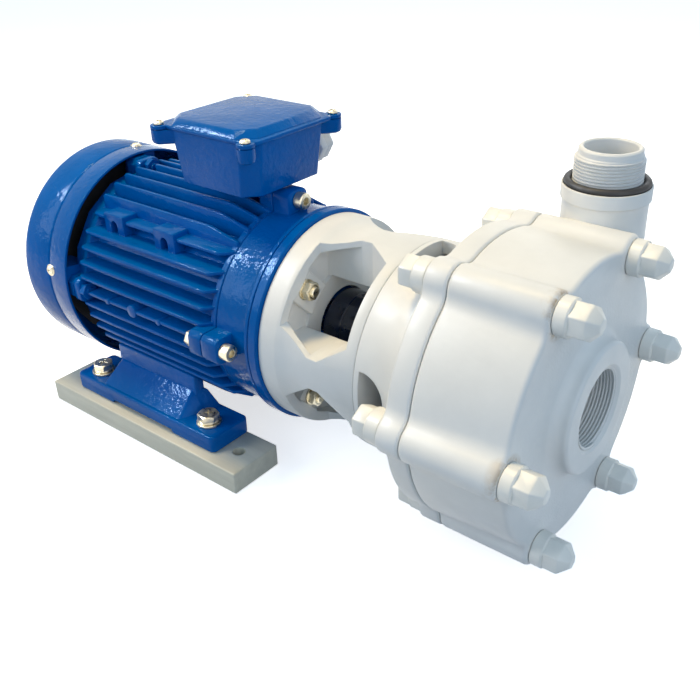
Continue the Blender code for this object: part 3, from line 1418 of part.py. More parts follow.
def seal_seat():
    """Stationary ring pressed into the rear casing."""
    return turned(
        [
            (SEAT_X, SEAT_BORE_R), (SEAT_X, SEAT_R), (IMPELLER_BACK_X, SEAT_R),
            (IMPELLER_BACK_X, SEAT_BORE_R),
        ],
        MEDIUM,
    )


def seal_housing():
    """Seal cover on the back of the rear casing, seen through the ports of the neck."""
    front = REAR_WALL_X - GAP
    return turned(
        [
            (SEAL_COVER_X, SLEEVE_R - 0.006), (SEAL_COVER_X, SEAL_COVER_NOSE_R),
            (SEAL_COVER_X + 0.012, SEAL_COVER_NOSE_R), (SEAL_COVER_X + 0.014, SEAL_COVER_R - 0.002),
            (SEAL_COVER_X + 0.016, SEAL_COVER_R), (front, SEAL_COVER_R), (front, SLEEVE_R - 0.006),
        ],
        FINE,
    )


def main():
    clear_scene()
    blue = material("motor_blue", (0.0, 0.098, 0.392), 0.25)
    white = material("pump_white", (0.78, 0.76, 0.71), 0.45)
    nut_white = material("cap_white", (0.80, 0.78, 0.70), 0.40)
    beige = material("bar_beige", (0.55, 0.49, 0.35), 0.55)
    zinc = material("zinc_plate", (0.66, 0.60, 0.46), 0.30, 1.0)
    steel = material("steel", (0.55, 0.55, 0.55), 0.30, 1.0)
    black = material("black_gloss", (0.008, 0.009, 0.012), 0.12)
    rubber = material("rubber", (0.015, 0.015, 0.015), 0.60)
    iron = material("laminations", (0.22, 0.22, 0.23), 0.50, 0.8)
    plastic = material("fan_plastic", (0.03, 0.03, 0.03), 0.45)
    grey = material("gland_grey", (0.60, 0.62, 0.64), 0.45)
    board = material("board_brown", (0.16, 0.07, 0.03), 0.50)
    ceramic = material("ceramic", (0.80, 0.78, 0.72), 0.25)
    carbon = material("carbon", (0.03, 0.03, 0.035), 0.40)

    frame = empty("pump_frame", None, (FACE_X, 0.0, AXIS_HEIGHT))
    spin = empty("shaft_axis", frame)

    for side, name in ((-1, "near"), (1, "far")):
        node(riser_bar(side), f"riser_bar_{name}", beige, frame)
        node(foot(side), f"foot_{name}", blue, frame)
    places = []
    for side in (-1, 1):
        for x in (FOOT_BOLT_REAR_X, FOOT_BOLT_REAR_X + FOOT_BOLT_PITCH):
            places.append(Matrix.Translation((x, side * FOOT_BOLT_Y, 0.0)))
    nodes_at(foot_bolt(), "foot_bolt", places, zinc, frame)

    node(stator_housing(), "stator_housing", blue, frame)
    node(stator_core(), "stator_core", iron, frame)
    node(drive_end_shield(), "drive_end_shield", blue, frame)
    node(rear_end_shield(), "rear_end_shield", blue, frame)
    nodes_at(shield_screw(), "shield_screw", about_shaft(LUG_ANGLES), zinc, frame)
    node(fan_cowl(), "fan_cowl", blue, frame)
    node(cooling_fan(), "cooling_fan", plastic, spin)
    node(rotor_shaft(), "rotor_shaft", steel, spin)
    node(rotor_core(), "rotor_core", iron, spin)
    node(bearing(FRONT_BEARING_X), "front_bearing", steel, frame)
    node(bearing(REAR_BEARING_X), "rear_bearing", steel, frame)

    node(terminal_box(), "terminal_box", blue, frame)
    node(terminal_box_lid(), "terminal_box_lid", blue, frame)
    places = [Matrix.Translation((x, y, 0.0)) for x, y in ear_places()]
    nodes_at(lid_screw(), "lid_screw", places, zinc, frame)
    node(cable_gland(), "cable_gland", grey, frame)
    node(terminal_board(), "terminal_board", board, frame)

    node(lantern(), "lantern", white, frame)
    nodes_at(lantern_nut(), "lantern_nut", about_shaft(WINDOW_ANGLES), zinc, frame)
    node(coupling_sleeve(), "coupling_sleeve", black, spin)

    node(rear_casing(), "rear_casing", white, frame)
    node(front_casing(), "front_casing", white, frame)
    ring = o_ring(PARTING_X - O_RING_R, O_RING_CIRCLE_R, O_RING_R)
    node(ring, "casing_o_ring", rubber, frame)
    nodes_at(tie_bolt(), "tie_bolt", about_shaft(BOLT_ANGLES), nut_white, frame)
    nodes_at(cap_nut(), "cap_nut", about_shaft(BOLT_ANGLES), nut_white, frame)
    node(discharge_nipple(), "discharge_nipple", white, frame)
    seal = o_ring(
        DISCHARGE_TOP_Z - NIPPLE_SEAL_DEPTH + GAP + NIPPLE_SEAL_R,
        NIPPLE_R + GAP + NIPPLE_SEAL_R + 0.0001, NIPPLE_SEAL_R,
    )
    node(upright(seal, DISCHARGE_X, DISCHARGE_Y), "discharge_o_ring", rubber, frame)
    node(impeller(), "impeller", white, spin)
    node(seal_rotary(), "seal_rotary", carbon, spin)
    node(seal_seat(), "seal_seat", ceramic, frame)
    node(seal_housing(), "seal_housing", white, frame)


main()
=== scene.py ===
"""Looks of the chemical pump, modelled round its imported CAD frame.

Lengths are in metres. Shapes are drawn in the shaft frame: X along the shaft from the motor's
flange face towards the suction port, Z up, the shaft axis at the origin. place() then moves a
finished piece to its spot over the floor.
"""

import json
import math

import bpy
from mathutils import Matrix, Vector


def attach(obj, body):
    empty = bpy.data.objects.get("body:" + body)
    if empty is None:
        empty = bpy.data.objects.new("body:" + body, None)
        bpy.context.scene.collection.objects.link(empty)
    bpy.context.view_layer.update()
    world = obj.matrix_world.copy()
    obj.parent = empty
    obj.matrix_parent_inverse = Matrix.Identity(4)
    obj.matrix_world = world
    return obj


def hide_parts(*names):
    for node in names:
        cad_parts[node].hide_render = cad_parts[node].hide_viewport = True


bl_info = {
    "name": "Chemical pump",
    "version": (1, 0, 0),
    "blender": (4, 5, 0),
    "location": "View3D > Sidebar > Pump",
    "description": "Models the detailed pieces of a chemical pump and its studio stage",
    "category": "Object",
}

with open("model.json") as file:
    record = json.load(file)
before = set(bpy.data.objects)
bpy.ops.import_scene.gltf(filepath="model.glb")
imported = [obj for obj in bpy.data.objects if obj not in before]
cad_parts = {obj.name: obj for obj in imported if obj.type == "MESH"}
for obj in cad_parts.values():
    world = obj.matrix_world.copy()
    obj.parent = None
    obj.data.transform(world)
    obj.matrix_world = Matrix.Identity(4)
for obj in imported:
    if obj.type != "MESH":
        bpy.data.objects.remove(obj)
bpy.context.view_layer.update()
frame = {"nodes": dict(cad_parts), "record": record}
SHAFT = Vector((0.01785, 0.0, 0.12))
TURN = math.tau
PORT_ANGLES = [TURN * k / 4 for k in range(4)]
WINDOW_ANGLES = [TURN * (k + 0.5) / 4 for k in range(4)]
BOLT_ANGLES = [TURN * k / 6 for k in range(6)]
FLANKS = (0.0, TURN / 2)

# Circles round the shaft
BOLT_CIRCLE = 0.1019
SHIELD_SCREW_CIRCLE = 0.092
REAR_SCREW_CIRCLE = 0.087
STUD_CIRCLE = 0.065

# Places that several pieces share
DISCHARGE = Vector((0.1815, 0.088, 0.0))
BOX_MIDDLE = -0.077
LID_SCREWS = [(BOX_MIDDLE + i * 0.0463, j * 0.0483) for i in (-1, 1) for j in (-1, 1)]
FOOT_HOLES = (-0.206, -0.066)
FOOT_BOLT_LINE = 0.084
CASING_RADIUS = 0.106
LOBE_RADIUS = 0.0147
LOBE_FILLET = 0.014
SHELL_INSIDE = 0.0755
WEB_FACE = 0.0129

# A ramp's stops lie far enough apart when a distance in metres is scaled up
DISTANCE_SCALE = 10.0


# Sizes and colours that a user may change


def length(name, description, default):
    return bpy.props.FloatProperty(
        name=name, description=description, default=default, unit="LENGTH", subtype="DISTANCE"
    )


def count(name, description, default, least):
    return bpy.props.IntProperty(name=name, description=description, default=default, min=least)


def tone(name, description, default):
    return bpy.props.FloatVectorProperty(
        name=name, description=description, default=default, subtype="COLOR", size=3,
        min=0.0, max=1.0,
    )


class PumpSizes(bpy.types.PropertyGroup):
    """Sizes of the pump's detail"""

    round_steps: count("Round steps", "Facets round a large turned piece", 144, 24)
    casing_edge: length("Casing edge", "Rounding of the casing's front rim", 0.0035)
    fin_pitch: length("Fin pitch", "Distance between the cooling fins", 0.0124)
    fin_thickness: length("Fin thickness", "Thickness of a cooling fin", 0.0032)
    thread_pitch: length("Thread pitch", "Pitch of both pipe threads", 0.002309)
    suction_turns: count("Suction thread turns", "Turns of the thread in the suction port", 9, 1)
    nipple_turns: count("Discharge thread turns", "Turns of the thread on the discharge stub", 8, 1)
    floor_lift: bpy.props.FloatProperty(
        name="Floor lift", description="Light added to the floor where it is seen", default=0.68,
        min=0.0, max=1.0,
    )


class PumpColours(bpy.types.PropertyGroup):
    """Colours of the pump's finishes"""

    motor: tone("Motor paint", "Blue gloss paint of the motor", (0.0, 0.105, 0.40))
    casing: tone("Casing", "Off-white plastic of the casings and lantern", (0.80, 0.79, 0.76))
    cap: tone("Cap nuts", "Plastic of the cap nuts and capped bolt heads", (0.82, 0.80, 0.74))
    bar: tone("Riser bars", "Beige plastic of the two bars under the feet", (0.62, 0.60, 0.50))
    zinc: tone("Zinc plate", "Yellowish zinc on screws, nuts and washers", (0.74, 0.68, 0.52))
    floor: tone("Floor", "Pale studio floor", (1.0, 1.0, 1.0))


# Drawing and shaping


def deselect():
    """Object mode with nothing selected, so that the next operator acts on one piece alone."""
    if bpy.context.mode != "OBJECT":
        bpy.ops.object.mode_set(mode="OBJECT")
    bpy.ops.object.select_all(action="DESELECT")


def pick(*pieces):
    """Selects the pieces and makes the first one active."""
    deselect()
    for piece in pieces:
        piece.select_set(True)
    bpy.context.view_layer.objects.active = pieces[0]
    return pieces[0]


def edit(piece, select="SELECT"):
    pick(piece)
    bpy.ops.object.mode_set(mode="EDIT")
    bpy.ops.mesh.select_all(action=select)


def draw(points, close=True):
    """A line drawn from point to point in edit mode. A closed one is filled with a face."""
    deselect()
    bpy.ops.mesh.primitive_plane_add(size=0.001)
    piece = bpy.context.object
    bpy.ops.object.mode_set(mode="EDIT")
    bpy.ops.mesh.select_all(action="SELECT")
    bpy.ops.mesh.merge(type="CENTER")
    bpy.ops.transform.translate(value=points[0])
    for start, end in zip(points, points[1:]):
        step = Vector(end) - Vector(start)
        bpy.ops.mesh.extrude_vertices_move(TRANSFORM_OT_translate={"value": step})
    if close:
        bpy.ops.mesh.select_all(action="SELECT")
        bpy.ops.mesh.edge_face_add()
    bpy.ops.object.mode_set(mode="OBJECT")
    return piece


def mend(piece):
    """Merges doubled points and turns every face outwards."""
    edit(piece)
    bpy.ops.mesh.remove_doubles(threshold=1e-6)
    bpy.ops.mesh.select_all(action="SELECT")
    bpy.ops.mesh.normals_make_consistent(inside=False)
    bpy.ops.object.mode_set(mode="OBJECT")
    return piece


def spun(profile, steps, loop=True, axis="X", centre=(0.0, 0.0, 0.0)):
    """A turned piece from its (place along the axis, radius) profile."""
    if axis == "X":
        points = [(along, 0.0, radius) for along, radius in profile]
        direction = (1, 0, 0)
    else:
        points = [(centre[0] + radius, centre[1], along) for along, radius in profile]
        direction = (0, 0, 1)
    if loop:
        points.append(points[0])
    piece = draw(points, close=False)
    edit(piece)
    bpy.ops.mesh.remove_doubles(threshold=1e-7)
    bpy.ops.mesh.select_all(action="SELECT")
    bpy.ops.mesh.spin(steps=steps, angle=TURN, center=centre, axis=direction)
    return mend(piece)


def point_on(axis, low, pair):
    """A pair of an outline as a point at its place along the axis."""
    a, b = pair
    return {"X": (low, a, b), "Y": (a, low, b), "Z": (a, b, low)}[axis]


def extruded(outline, low, high, axis="X"):
    """A flat outline of pairs, filled and extruded along an axis."""
    piece = draw([point_on(axis, low, pair) for pair in outline])
    edit(piece)
    step = point_on(axis, high - low, (0, 0))
    bpy.ops.mesh.extrude_region_move(TRANSFORM_OT_translate={"value": step})
    return mend(piece)


def bridged(sections, axis="X"):
    """A closed body through outlines of as many points each, given as (place, pairs)."""
    loops = [draw([point_on(axis, low, pair) for pair in outline]) for low, outline in sections]
    for loop in loops[1:-1]:
        edit(loop)
        bpy.ops.mesh.delete(type="ONLY_FACE")
        bpy.ops.object.mode_set(mode="OBJECT")
    body, points = loops[0], len(sections[0][1])
    for loop in loops[1:]:
        faces, old = len(body.data.polygons), len(body.data.vertices)
        joined(body, loop)
        rim = range(old - points, old + points)
        edit(body, "DESELECT")
        bpy.ops.object.mode_set(mode="OBJECT")
        for edge in body.data.edges:
            edge.select = edge.vertices[0] in rim and edge.vertices[1] in rim
        pick(body)
        bpy.ops.object.mode_set(mode="EDIT")
        bpy.ops.mesh.select_mode(type="EDGE")
        bpy.ops.mesh.bridge_edge_loops()
        bpy.ops.mesh.select_mode(type="VERT")
        bpy.ops.object.mode_set(mode="OBJECT")
        if len(body.data.polygons) <= faces:
            raise RuntimeError("the outlines of a bridged piece did not join")
    return mend(body)


def joined(body, *others):
    pick(body, *others)
    bpy.ops.object.join()
    return body


def boolean(body, tools, operation):
    for tool in tools:
        step = body.modifiers.new("Shape", "BOOLEAN")
        step.operation = operation
        step.solver = "EXACT"
        step.object = tool
        pick(body)
        bpy.ops.object.modifier_apply(modifier=step.name)
        bpy.data.objects.remove(tool, do_unlink=True)
    return body


def cut(body, *tools):
    return boolean(body, tools, "DIFFERENCE")


def merged(body, *tools):
    return boolean(body, tools, "UNION")


def bevelled(piece, width, segments=2, angle=35.0):
    """Rounds the edges that are sharper than the angle."""
    step = piece.modifiers.new("Round", "BEVEL")
    step.width = width
    step.segments = segments
    step.limit_method = "ANGLE"
    step.angle_limit = math.radians(angle)
    step.harden_normals = False
    pick(piece)
    bpy.ops.object.modifier_apply(modifier=step.name)
    return piece


def turned_copies(piece, angles):
    """The piece copied to each angle round the shaft, each copy with its own mesh."""
    made = []
    for angle in angles:
        copy = piece.copy()
        copy.data = piece.data.copy()
        bpy.context.scene.collection.objects.link(copy)
        copy.rotation_euler = (angle, 0.0, 0.0)
        pick(copy)
        bpy.ops.object.transform_apply(location=False, rotation=True, scale=False)
        made.append(copy)
    bpy.data.objects.remove(piece, do_unlink=True)
    return made


def pins(circle, radius, low, high, angles):
    """Round bars along the shaft, set out on a circle to cut holes with."""
    return turned_copies(extruded(ring((circle, 0.0), radius, 24), low, high), angles)


def shifted(piece, step, turn=(0.0, 0.0, 0.0)):
    """Turns the piece about the origin, moves it, and writes its place into its mesh."""
    piece.rotation_euler = turn
    piece.location = step
    pick(piece)
    bpy.ops.object.transform_apply(location=True, rotation=True, scale=True)
    return piece


def place(piece, name, slot, stands_for=(), body="frame", smooth=35.0, finish=None):
    """Names a finished piece, moves it over the floor, and gives it its finish and its body."""
    shifted(piece, SHAFT)
    piece.name = name
    piece.data.name = name
    piece.data.materials.clear()
    piece.data.materials.append(FINISHES[finish or slot])
    for face in piece.data.polygons:
        face.material_index = 0
    pick(piece)
    bpy.ops.object.shade_smooth_by_angle(angle=math.radians(smooth))
    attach(piece, body)
    if stands_for:
        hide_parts(*stands_for)


def place_round(piece, angles, name, node, slot, smooth):
    """Copies a piece to each angle round the shaft and numbers the copies and their nodes."""
    for number, copy in enumerate(turned_copies(piece, angles), 1):
        stands_for = [f"{node}_{number}"] if node else ()
        place(copy, f"{name}_{number}", slot, stands_for, smooth=smooth)


# Outlines


def arc(centre, radius, start, end, steps):
    """Points along an arc, both ends included."""
    angles = [start + (end - start) * k / steps for k in range(steps + 1)]
    return [(centre[0] + radius * math.cos(a), centre[1] + radius * math.sin(a)) for a in angles]


def ring(centre, radius, steps, turn=0.0):
    return arc(centre, radius, turn, turn + TURN * (steps - 1) / steps, steps - 1)


def hexagon(centre, across_flats, turn=0.0):
    return ring(centre, across_flats / math.sqrt(3), 6, turn)


def box_outline(a0, a1, b0, b1, corner=0.0, steps=4):
    """A rectangle with rounded corners."""
    if corner <= 0.0:
        return [(a0, b0), (a1, b0), (a1, b1), (a0, b1)]
    quarter = TURN / 4
    return (
        arc((a1 - corner, b0 + corner), corner, -quarter, 0.0, steps)
        + arc((a1 - corner, b1 - corner), corner, 0.0, quarter, steps)
        + arc((a0 + corner, b1 - corner), corner, quarter, 2 * quarter, steps)
        + arc((a0 + corner, b0 + corner), corner, 2 * quarter, 3 * quarter, steps)
    )


def lobed(base):
    """The casing's outline: a circle with a round boss at each tie bolt, eased in on both sides."""
    lobe, fillet, fine = LOBE_RADIUS, LOBE_FILLET, 12
    pitch = TURN / 6
    reach = base + fillet
    away = math.acos((reach**2 + BOLT_CIRCLE**2 - (lobe + fillet) ** 2) / (2 * reach * BOLT_CIRCLE))
    hollow = (reach * math.cos(away), reach * math.sin(away))
    lean = math.atan2(hollow[1], hollow[0] - BOLT_CIRCLE)
    sector = arc((BOLT_CIRCLE, 0.0), lobe, -lean, lean, 2 * fine)
    easing = arc(hollow, fillet, math.pi + lean, math.pi + away, fine // 2)[1:]
    sector += easing
    sector += arc((0.0, 0.0), base, away, pitch - away, fine)[1:]
    mirror = [
        (y * math.cos(pitch) + z * math.sin(pitch), y * math.sin(pitch) - z * math.cos(pitch))
        for y, z in easing
    ]
    sector += mirror[-2::-1]
    outline = []
    for angle in BOLT_ANGLES:
        c, s = math.cos(angle), math.sin(angle)
        outline += [(y * c - z * s, y * s + z * c) for y, z in sector]
    return outline


def ridge(base, tip, pitch, turns, steps):
    """A thread's helical ridge about Z from zero height up, as a closed sweep."""
    half = pitch * 0.42
    crest = pitch * 0.16
    profile = [(base, 0.0, -half), (tip, 0.0, -crest), (tip, 0.0, crest), (base, 0.0, half)]
    piece = draw(profile + profile[:1], close=False)
    edit(piece)
    bpy.ops.mesh.remove_doubles(threshold=1e-7)
    bpy.ops.object.mode_set(mode="OBJECT")
    sweep = piece.modifiers.new("Thread", "SCREW")
    sweep.axis = "Z"
    sweep.steps = steps
    sweep.render_steps = steps
    sweep.iterations = turns
    sweep.screw_offset = pitch
    sweep.use_normal_calculate = True
    pick(piece)
    bpy.ops.object.modifier_apply(modifier=sweep.name)
    edit(piece)
    bpy.ops.mesh.fill_holes(sides=0)
    return mend(piece)


def lug(radius, low, high):
    """A screw lug on the +Y side, rounded off outside."""
    made = extruded(box_outline(0.073, radius, -0.011, 0.011, 0.0055, 5), low, high)
    return bevelled(made, 0.0012, 2, 50.0)


def hex_head(across, low, high, chamfer):
    """An upright hexagon, its top turned off round."""
    head = extruded(hexagon((0.0, 0.0), across), low, high, "Z")
    wide = across / math.sqrt(3) + 0.0001
    turned_top = spun([
        (low - 0.001, 0.0), (low - 0.001, wide), (high - 2 * chamfer, wide),
        (high, wide - 3.4 * chamfer), (high, 0.0),
    ], 48, loop=False, axis="Z")
    return boolean(head, [turned_top], "INTERSECT")


def cross_recess(reach, width, low, high):
    """Two crossing slots for a screwdriver."""
    return [
        extruded(box_outline(-reach, reach, -width / 2, width / 2), low, high, "Z"),
        extruded(box_outline(-width / 2, width / 2, -reach, reach), low, high, "Z"),
    ]


# Finishes


class Tree:
    """A node tree with a short way to add a node."""

    def __init__(self, tree):
        self.nodes, self.links = tree.nodes, tree.links

    def node(self, kind, inputs, **settings):
        """A new node. Its inputs are values, or outputs of other nodes to link."""
        made = self.nodes.new(kind)
        for name, value in settings.items():
            setattr(made, name, value)
        for name, value in inputs.items():
            if isinstance(value, bpy.types.NodeSocket):
                self.links.new(value, made.inputs[name])
            else:
                made.inputs[name].default_value = value
        return made


class Finish(Tree):
    """Builds one material round its shader."""

    def __init__(self, name, **values):
        self.material = bpy.data.materials.new(name)
        self.material.use_nodes = True
        super().__init__(self.material.node_tree)
        self.shader = self.nodes["Principled BSDF"]
        self.place = self.nodes.new("ShaderNodeTexCoord").outputs["Object"]
        self.normal = None
        for socket, value in values.items():
            self.shader.inputs[socket.replace("_", " ")].default_value = value

    def stretched(self, stretch):
        inputs = {"Scale": stretch, "Vector": self.place}
        return self.node("ShaderNodeMapping", inputs).outputs["Vector"]

    def noise(self, scale, detail=2.0, roughness=0.5, stretch=None):
        place = self.stretched(stretch) if stretch else self.place
        inputs = {"Scale": scale, "Detail": detail, "Roughness": roughness, "Vector": place}
        return self.node("ShaderNodeTexNoise", inputs).outputs["Fac"]

    def cells(self, scale):
        inputs = {"Scale": scale, "Vector": self.place}
        return self.node("ShaderNodeTexVoronoi", inputs).outputs["Distance"]

    def ramp(self, value, stops):
        """A value turned to a colour or a grey through (position, colour or grey) stops."""
        made = self.node("ShaderNodeValToRGB", {"Fac": value})
        items = made.color_ramp.elements
        while len(items) < len(stops):
            items.new(0.5)
        for item, (position, tint) in zip(items, stops):
            item.position = position
            item.color = (tint, tint, tint, 1.0) if isinstance(tint, float) else (*tint, 1.0)
        return made.outputs["Color"]

    def mix(self, factor, low, high, blend="MIX"):
        inputs = {0: factor, 6: low, 7: high}
        made = self.node("ShaderNodeMix", inputs, data_type="RGBA", blend_type=blend)
        return made.outputs[2]

    def near(self, spot, stops, round_shaft=False):
        """A grey by the distance from a spot, or from a line along the shaft through it."""
        source = self.stretched((0.0, 1.0, 1.0)) if round_shaft else self.place
        away = self.node("ShaderNodeVectorMath", {0: source, 1: spot}, operation="DISTANCE")
        inputs = {0: away.outputs["Value"], 1: DISTANCE_SCALE}
        grown = self.node("ShaderNodeMath", inputs, operation="MULTIPLY").outputs[0]
        return self.ramp(grown, [(DISTANCE_SCALE * place, grey) for place, grey in stops])

    def clouds(self, pattern, base, low, high, start=0.3, end=0.7):
        """Lets a pattern drift between a darker and a lighter shade of the base colour."""
        return self.ramp(pattern, [(start, shade(base, low)), (end, shade(base, high))])

    def colour(self, output):
        self.links.new(output, self.shader.inputs["Base Color"])

    def gloss(self, low, high, scale, detail=2.0):
        """Lets the roughness drift between two values."""
        drift = self.ramp(self.noise(scale, detail), [(0.3, low), (0.7, high)])
        self.links.new(drift, self.shader.inputs["Roughness"])

    def rounded(self, radius):
        """Rounds the edges in the light that they catch."""
        self.facing(self.node("ShaderNodeBevel", {"Radius": radius}, samples=4))

    def bump(self, height, strength, distance):
        inputs = {"Strength": strength, "Distance": distance, "Height": height}
        if self.normal:
            inputs["Normal"] = self.normal
        self.facing(self.node("ShaderNodeBump", inputs))

    def facing(self, made):
        self.normal = made.outputs["Normal"]
        self.links.new(self.normal, self.shader.inputs["Normal"])


def shade(base, factor):
    return tuple(min(1.0, part * factor) for part in base)


def paint(colours):
    """Thick glossy motor paint with faint clouds and orange peel."""
    tint = (0.35, 0.65, 1.0, 1.0)
    made = Finish("motor_gloss_paint", Specular_IOR_Level=0.10, Specular_Tint=tint)
    made.colour(made.clouds(made.noise(9.0, 3.0, 0.6), colours.motor, 0.88, 1.10, 0.35, 0.65))
    made.gloss(0.05, 0.17, 60.0, 3.0)
    made.rounded(0.0009)
    made.bump(made.noise(230.0, 2.0, 0.6), 0.40, 0.0010)
    made.bump(made.noise(60.0), 0.40, 0.0016)
    return made.material


def plastic(colours, name, front=False):
    """Off-white moulded plastic, on the front casing with sealant and a grained band."""
    made = Finish(name, Specular_IOR_Level=0.32)
    cloud = made.clouds(made.noise(22.0, 4.0, 0.6), colours.casing, 0.95, 1.03)
    made.gloss(0.36, 0.50, 90.0, 3.0)
    made.rounded(0.0012)
    if front:
        cloud = glued(made, cloud)
        made.bump(grained(made), 0.35, 0.0006)
    made.colour(cloud)
    made.bump(made.noise(260.0, 3.0), 0.12, 0.0005)
    return made.material


def glued(made, cloud):
    """Yellowed sealant round the feet of two cap nuts."""
    patches = made.ramp(made.noise(55.0, 4.0, 0.7), [(0.42, 0.0), (0.58, 1.0)])
    for angle, strength in ((TURN * 0.5, 0.75), (TURN * 2 / 6, 0.85)):
        across, up = BOLT_CIRCLE * math.cos(angle), BOLT_CIRCLE * math.sin(angle)
        stops = [(0.0118, 0.0), (0.0130, strength), (0.0150, 0.35), (0.0175, 0.0)]
        rim = made.near(tuple(SHAFT + Vector((0.2205, across, up))), stops)
        stain = made.mix(1.0, rim, patches, "MULTIPLY")
        cloud = made.mix(stain, cloud, (0.42, 0.27, 0.11, 1.0))
    return cloud


def grained(made):
    """Fine pebbles in a band round the suction boss, level elsewhere."""
    stops = [(0.054, 0.0), (0.062, 1.0), (0.084, 1.0), (0.096, 0.0)]
    band = made.near((0.0, 0.0, SHAFT.z), stops, True)
    pebbles = made.ramp(made.cells(520.0), [(0.1, 0.2), (0.6, 0.9)])
    return made.mix(band, (0.5, 0.5, 0.5, 1.0), pebbles)


def cap_plastic(colours):
    made = Finish("cap_plastic", Specular_IOR_Level=0.5)
    made.colour(made.clouds(made.noise(60.0, 3.0), colours.cap, 0.95, 1.04))
    made.gloss(0.30, 0.42, 150.0)
    made.rounded(0.0010)
    made.bump(made.noise(400.0), 0.10, 0.0004)
    return made.material


def bar_plastic(colours):
    """Beige plastic with a grain along the bar."""
    made = Finish("bar_plastic", Specular_IOR_Level=0.35)
    grain = made.noise(60.0, 4.0, 0.6, (0.25, 2.0, 2.0))
    made.colour(made.clouds(grain, colours.bar, 0.90, 1.07))
    made.gloss(0.50, 0.62, 120.0)
    made.rounded(0.0012)
    made.bump(grain, 0.25, 0.0006)
    return made.material


def metal(name, base, low, high):
    made = Finish(name, Metallic=1.0)
    made.colour(made.clouds(made.noise(160.0, 3.0, 0.6), base, 0.80, 1.08))
    made.gloss(low, high, 320.0)
    made.rounded(0.0006)
    made.bump(made.noise(640.0), 0.15, 0.0003)
    return made.material


def moulded(name, base, low, high):
    made = Finish(name, Specular_IOR_Level=0.5)
    made.colour(made.clouds(made.noise(40.0, 3.0), base, 0.85, 1.15))
    made.gloss(low, high, 140.0)
    made.rounded(0.0006)
    made.bump(made.noise(300.0), 0.10, 0.0004)
    return made.material


def build_finishes(colours):
    """The finishes by their slot in the record, and the front casing's own."""
    return {
        "motor_paint": paint(colours),
        "pump_body": plastic(colours, "casing_plastic"),
        "front_body": plastic(colours, "front_casing_plastic", True),
        "cap_plastic": cap_plastic(colours),
        "bar": bar_plastic(colours),
        "zinc": metal("zinc_plate", colours.zinc, 0.24, 0.42),
        "steel": metal("ground_steel", (0.60, 0.60, 0.60), 0.20, 0.32),
        "laminations": metal("core_laminations", (0.26, 0.26, 0.27), 0.40, 0.55),
        "black_gloss": moulded("sleeve_black", (0.006, 0.012, 0.030), 0.05, 0.12),
        "rubber": moulded("seal_rubber", (0.015, 0.016, 0.018), 0.45, 0.65),
        "fan_plastic": moulded("fan_black", (0.03, 0.03, 0.03), 0.40, 0.55),
        "gland": moulded("gland_grey", (0.66, 0.68, 0.70), 0.35, 0.50),
        "board": moulded("board_brown", (0.16, 0.07, 0.03), 0.45, 0.60),
        "ceramic": moulded("seat_ceramic", (0.80, 0.78, 0.72), 0.15, 0.25),
        "carbon": moulded("seal_carbon", (0.03, 0.03, 0.035), 0.35, 0.50),
    }


FINISHES = {}


# Pieces


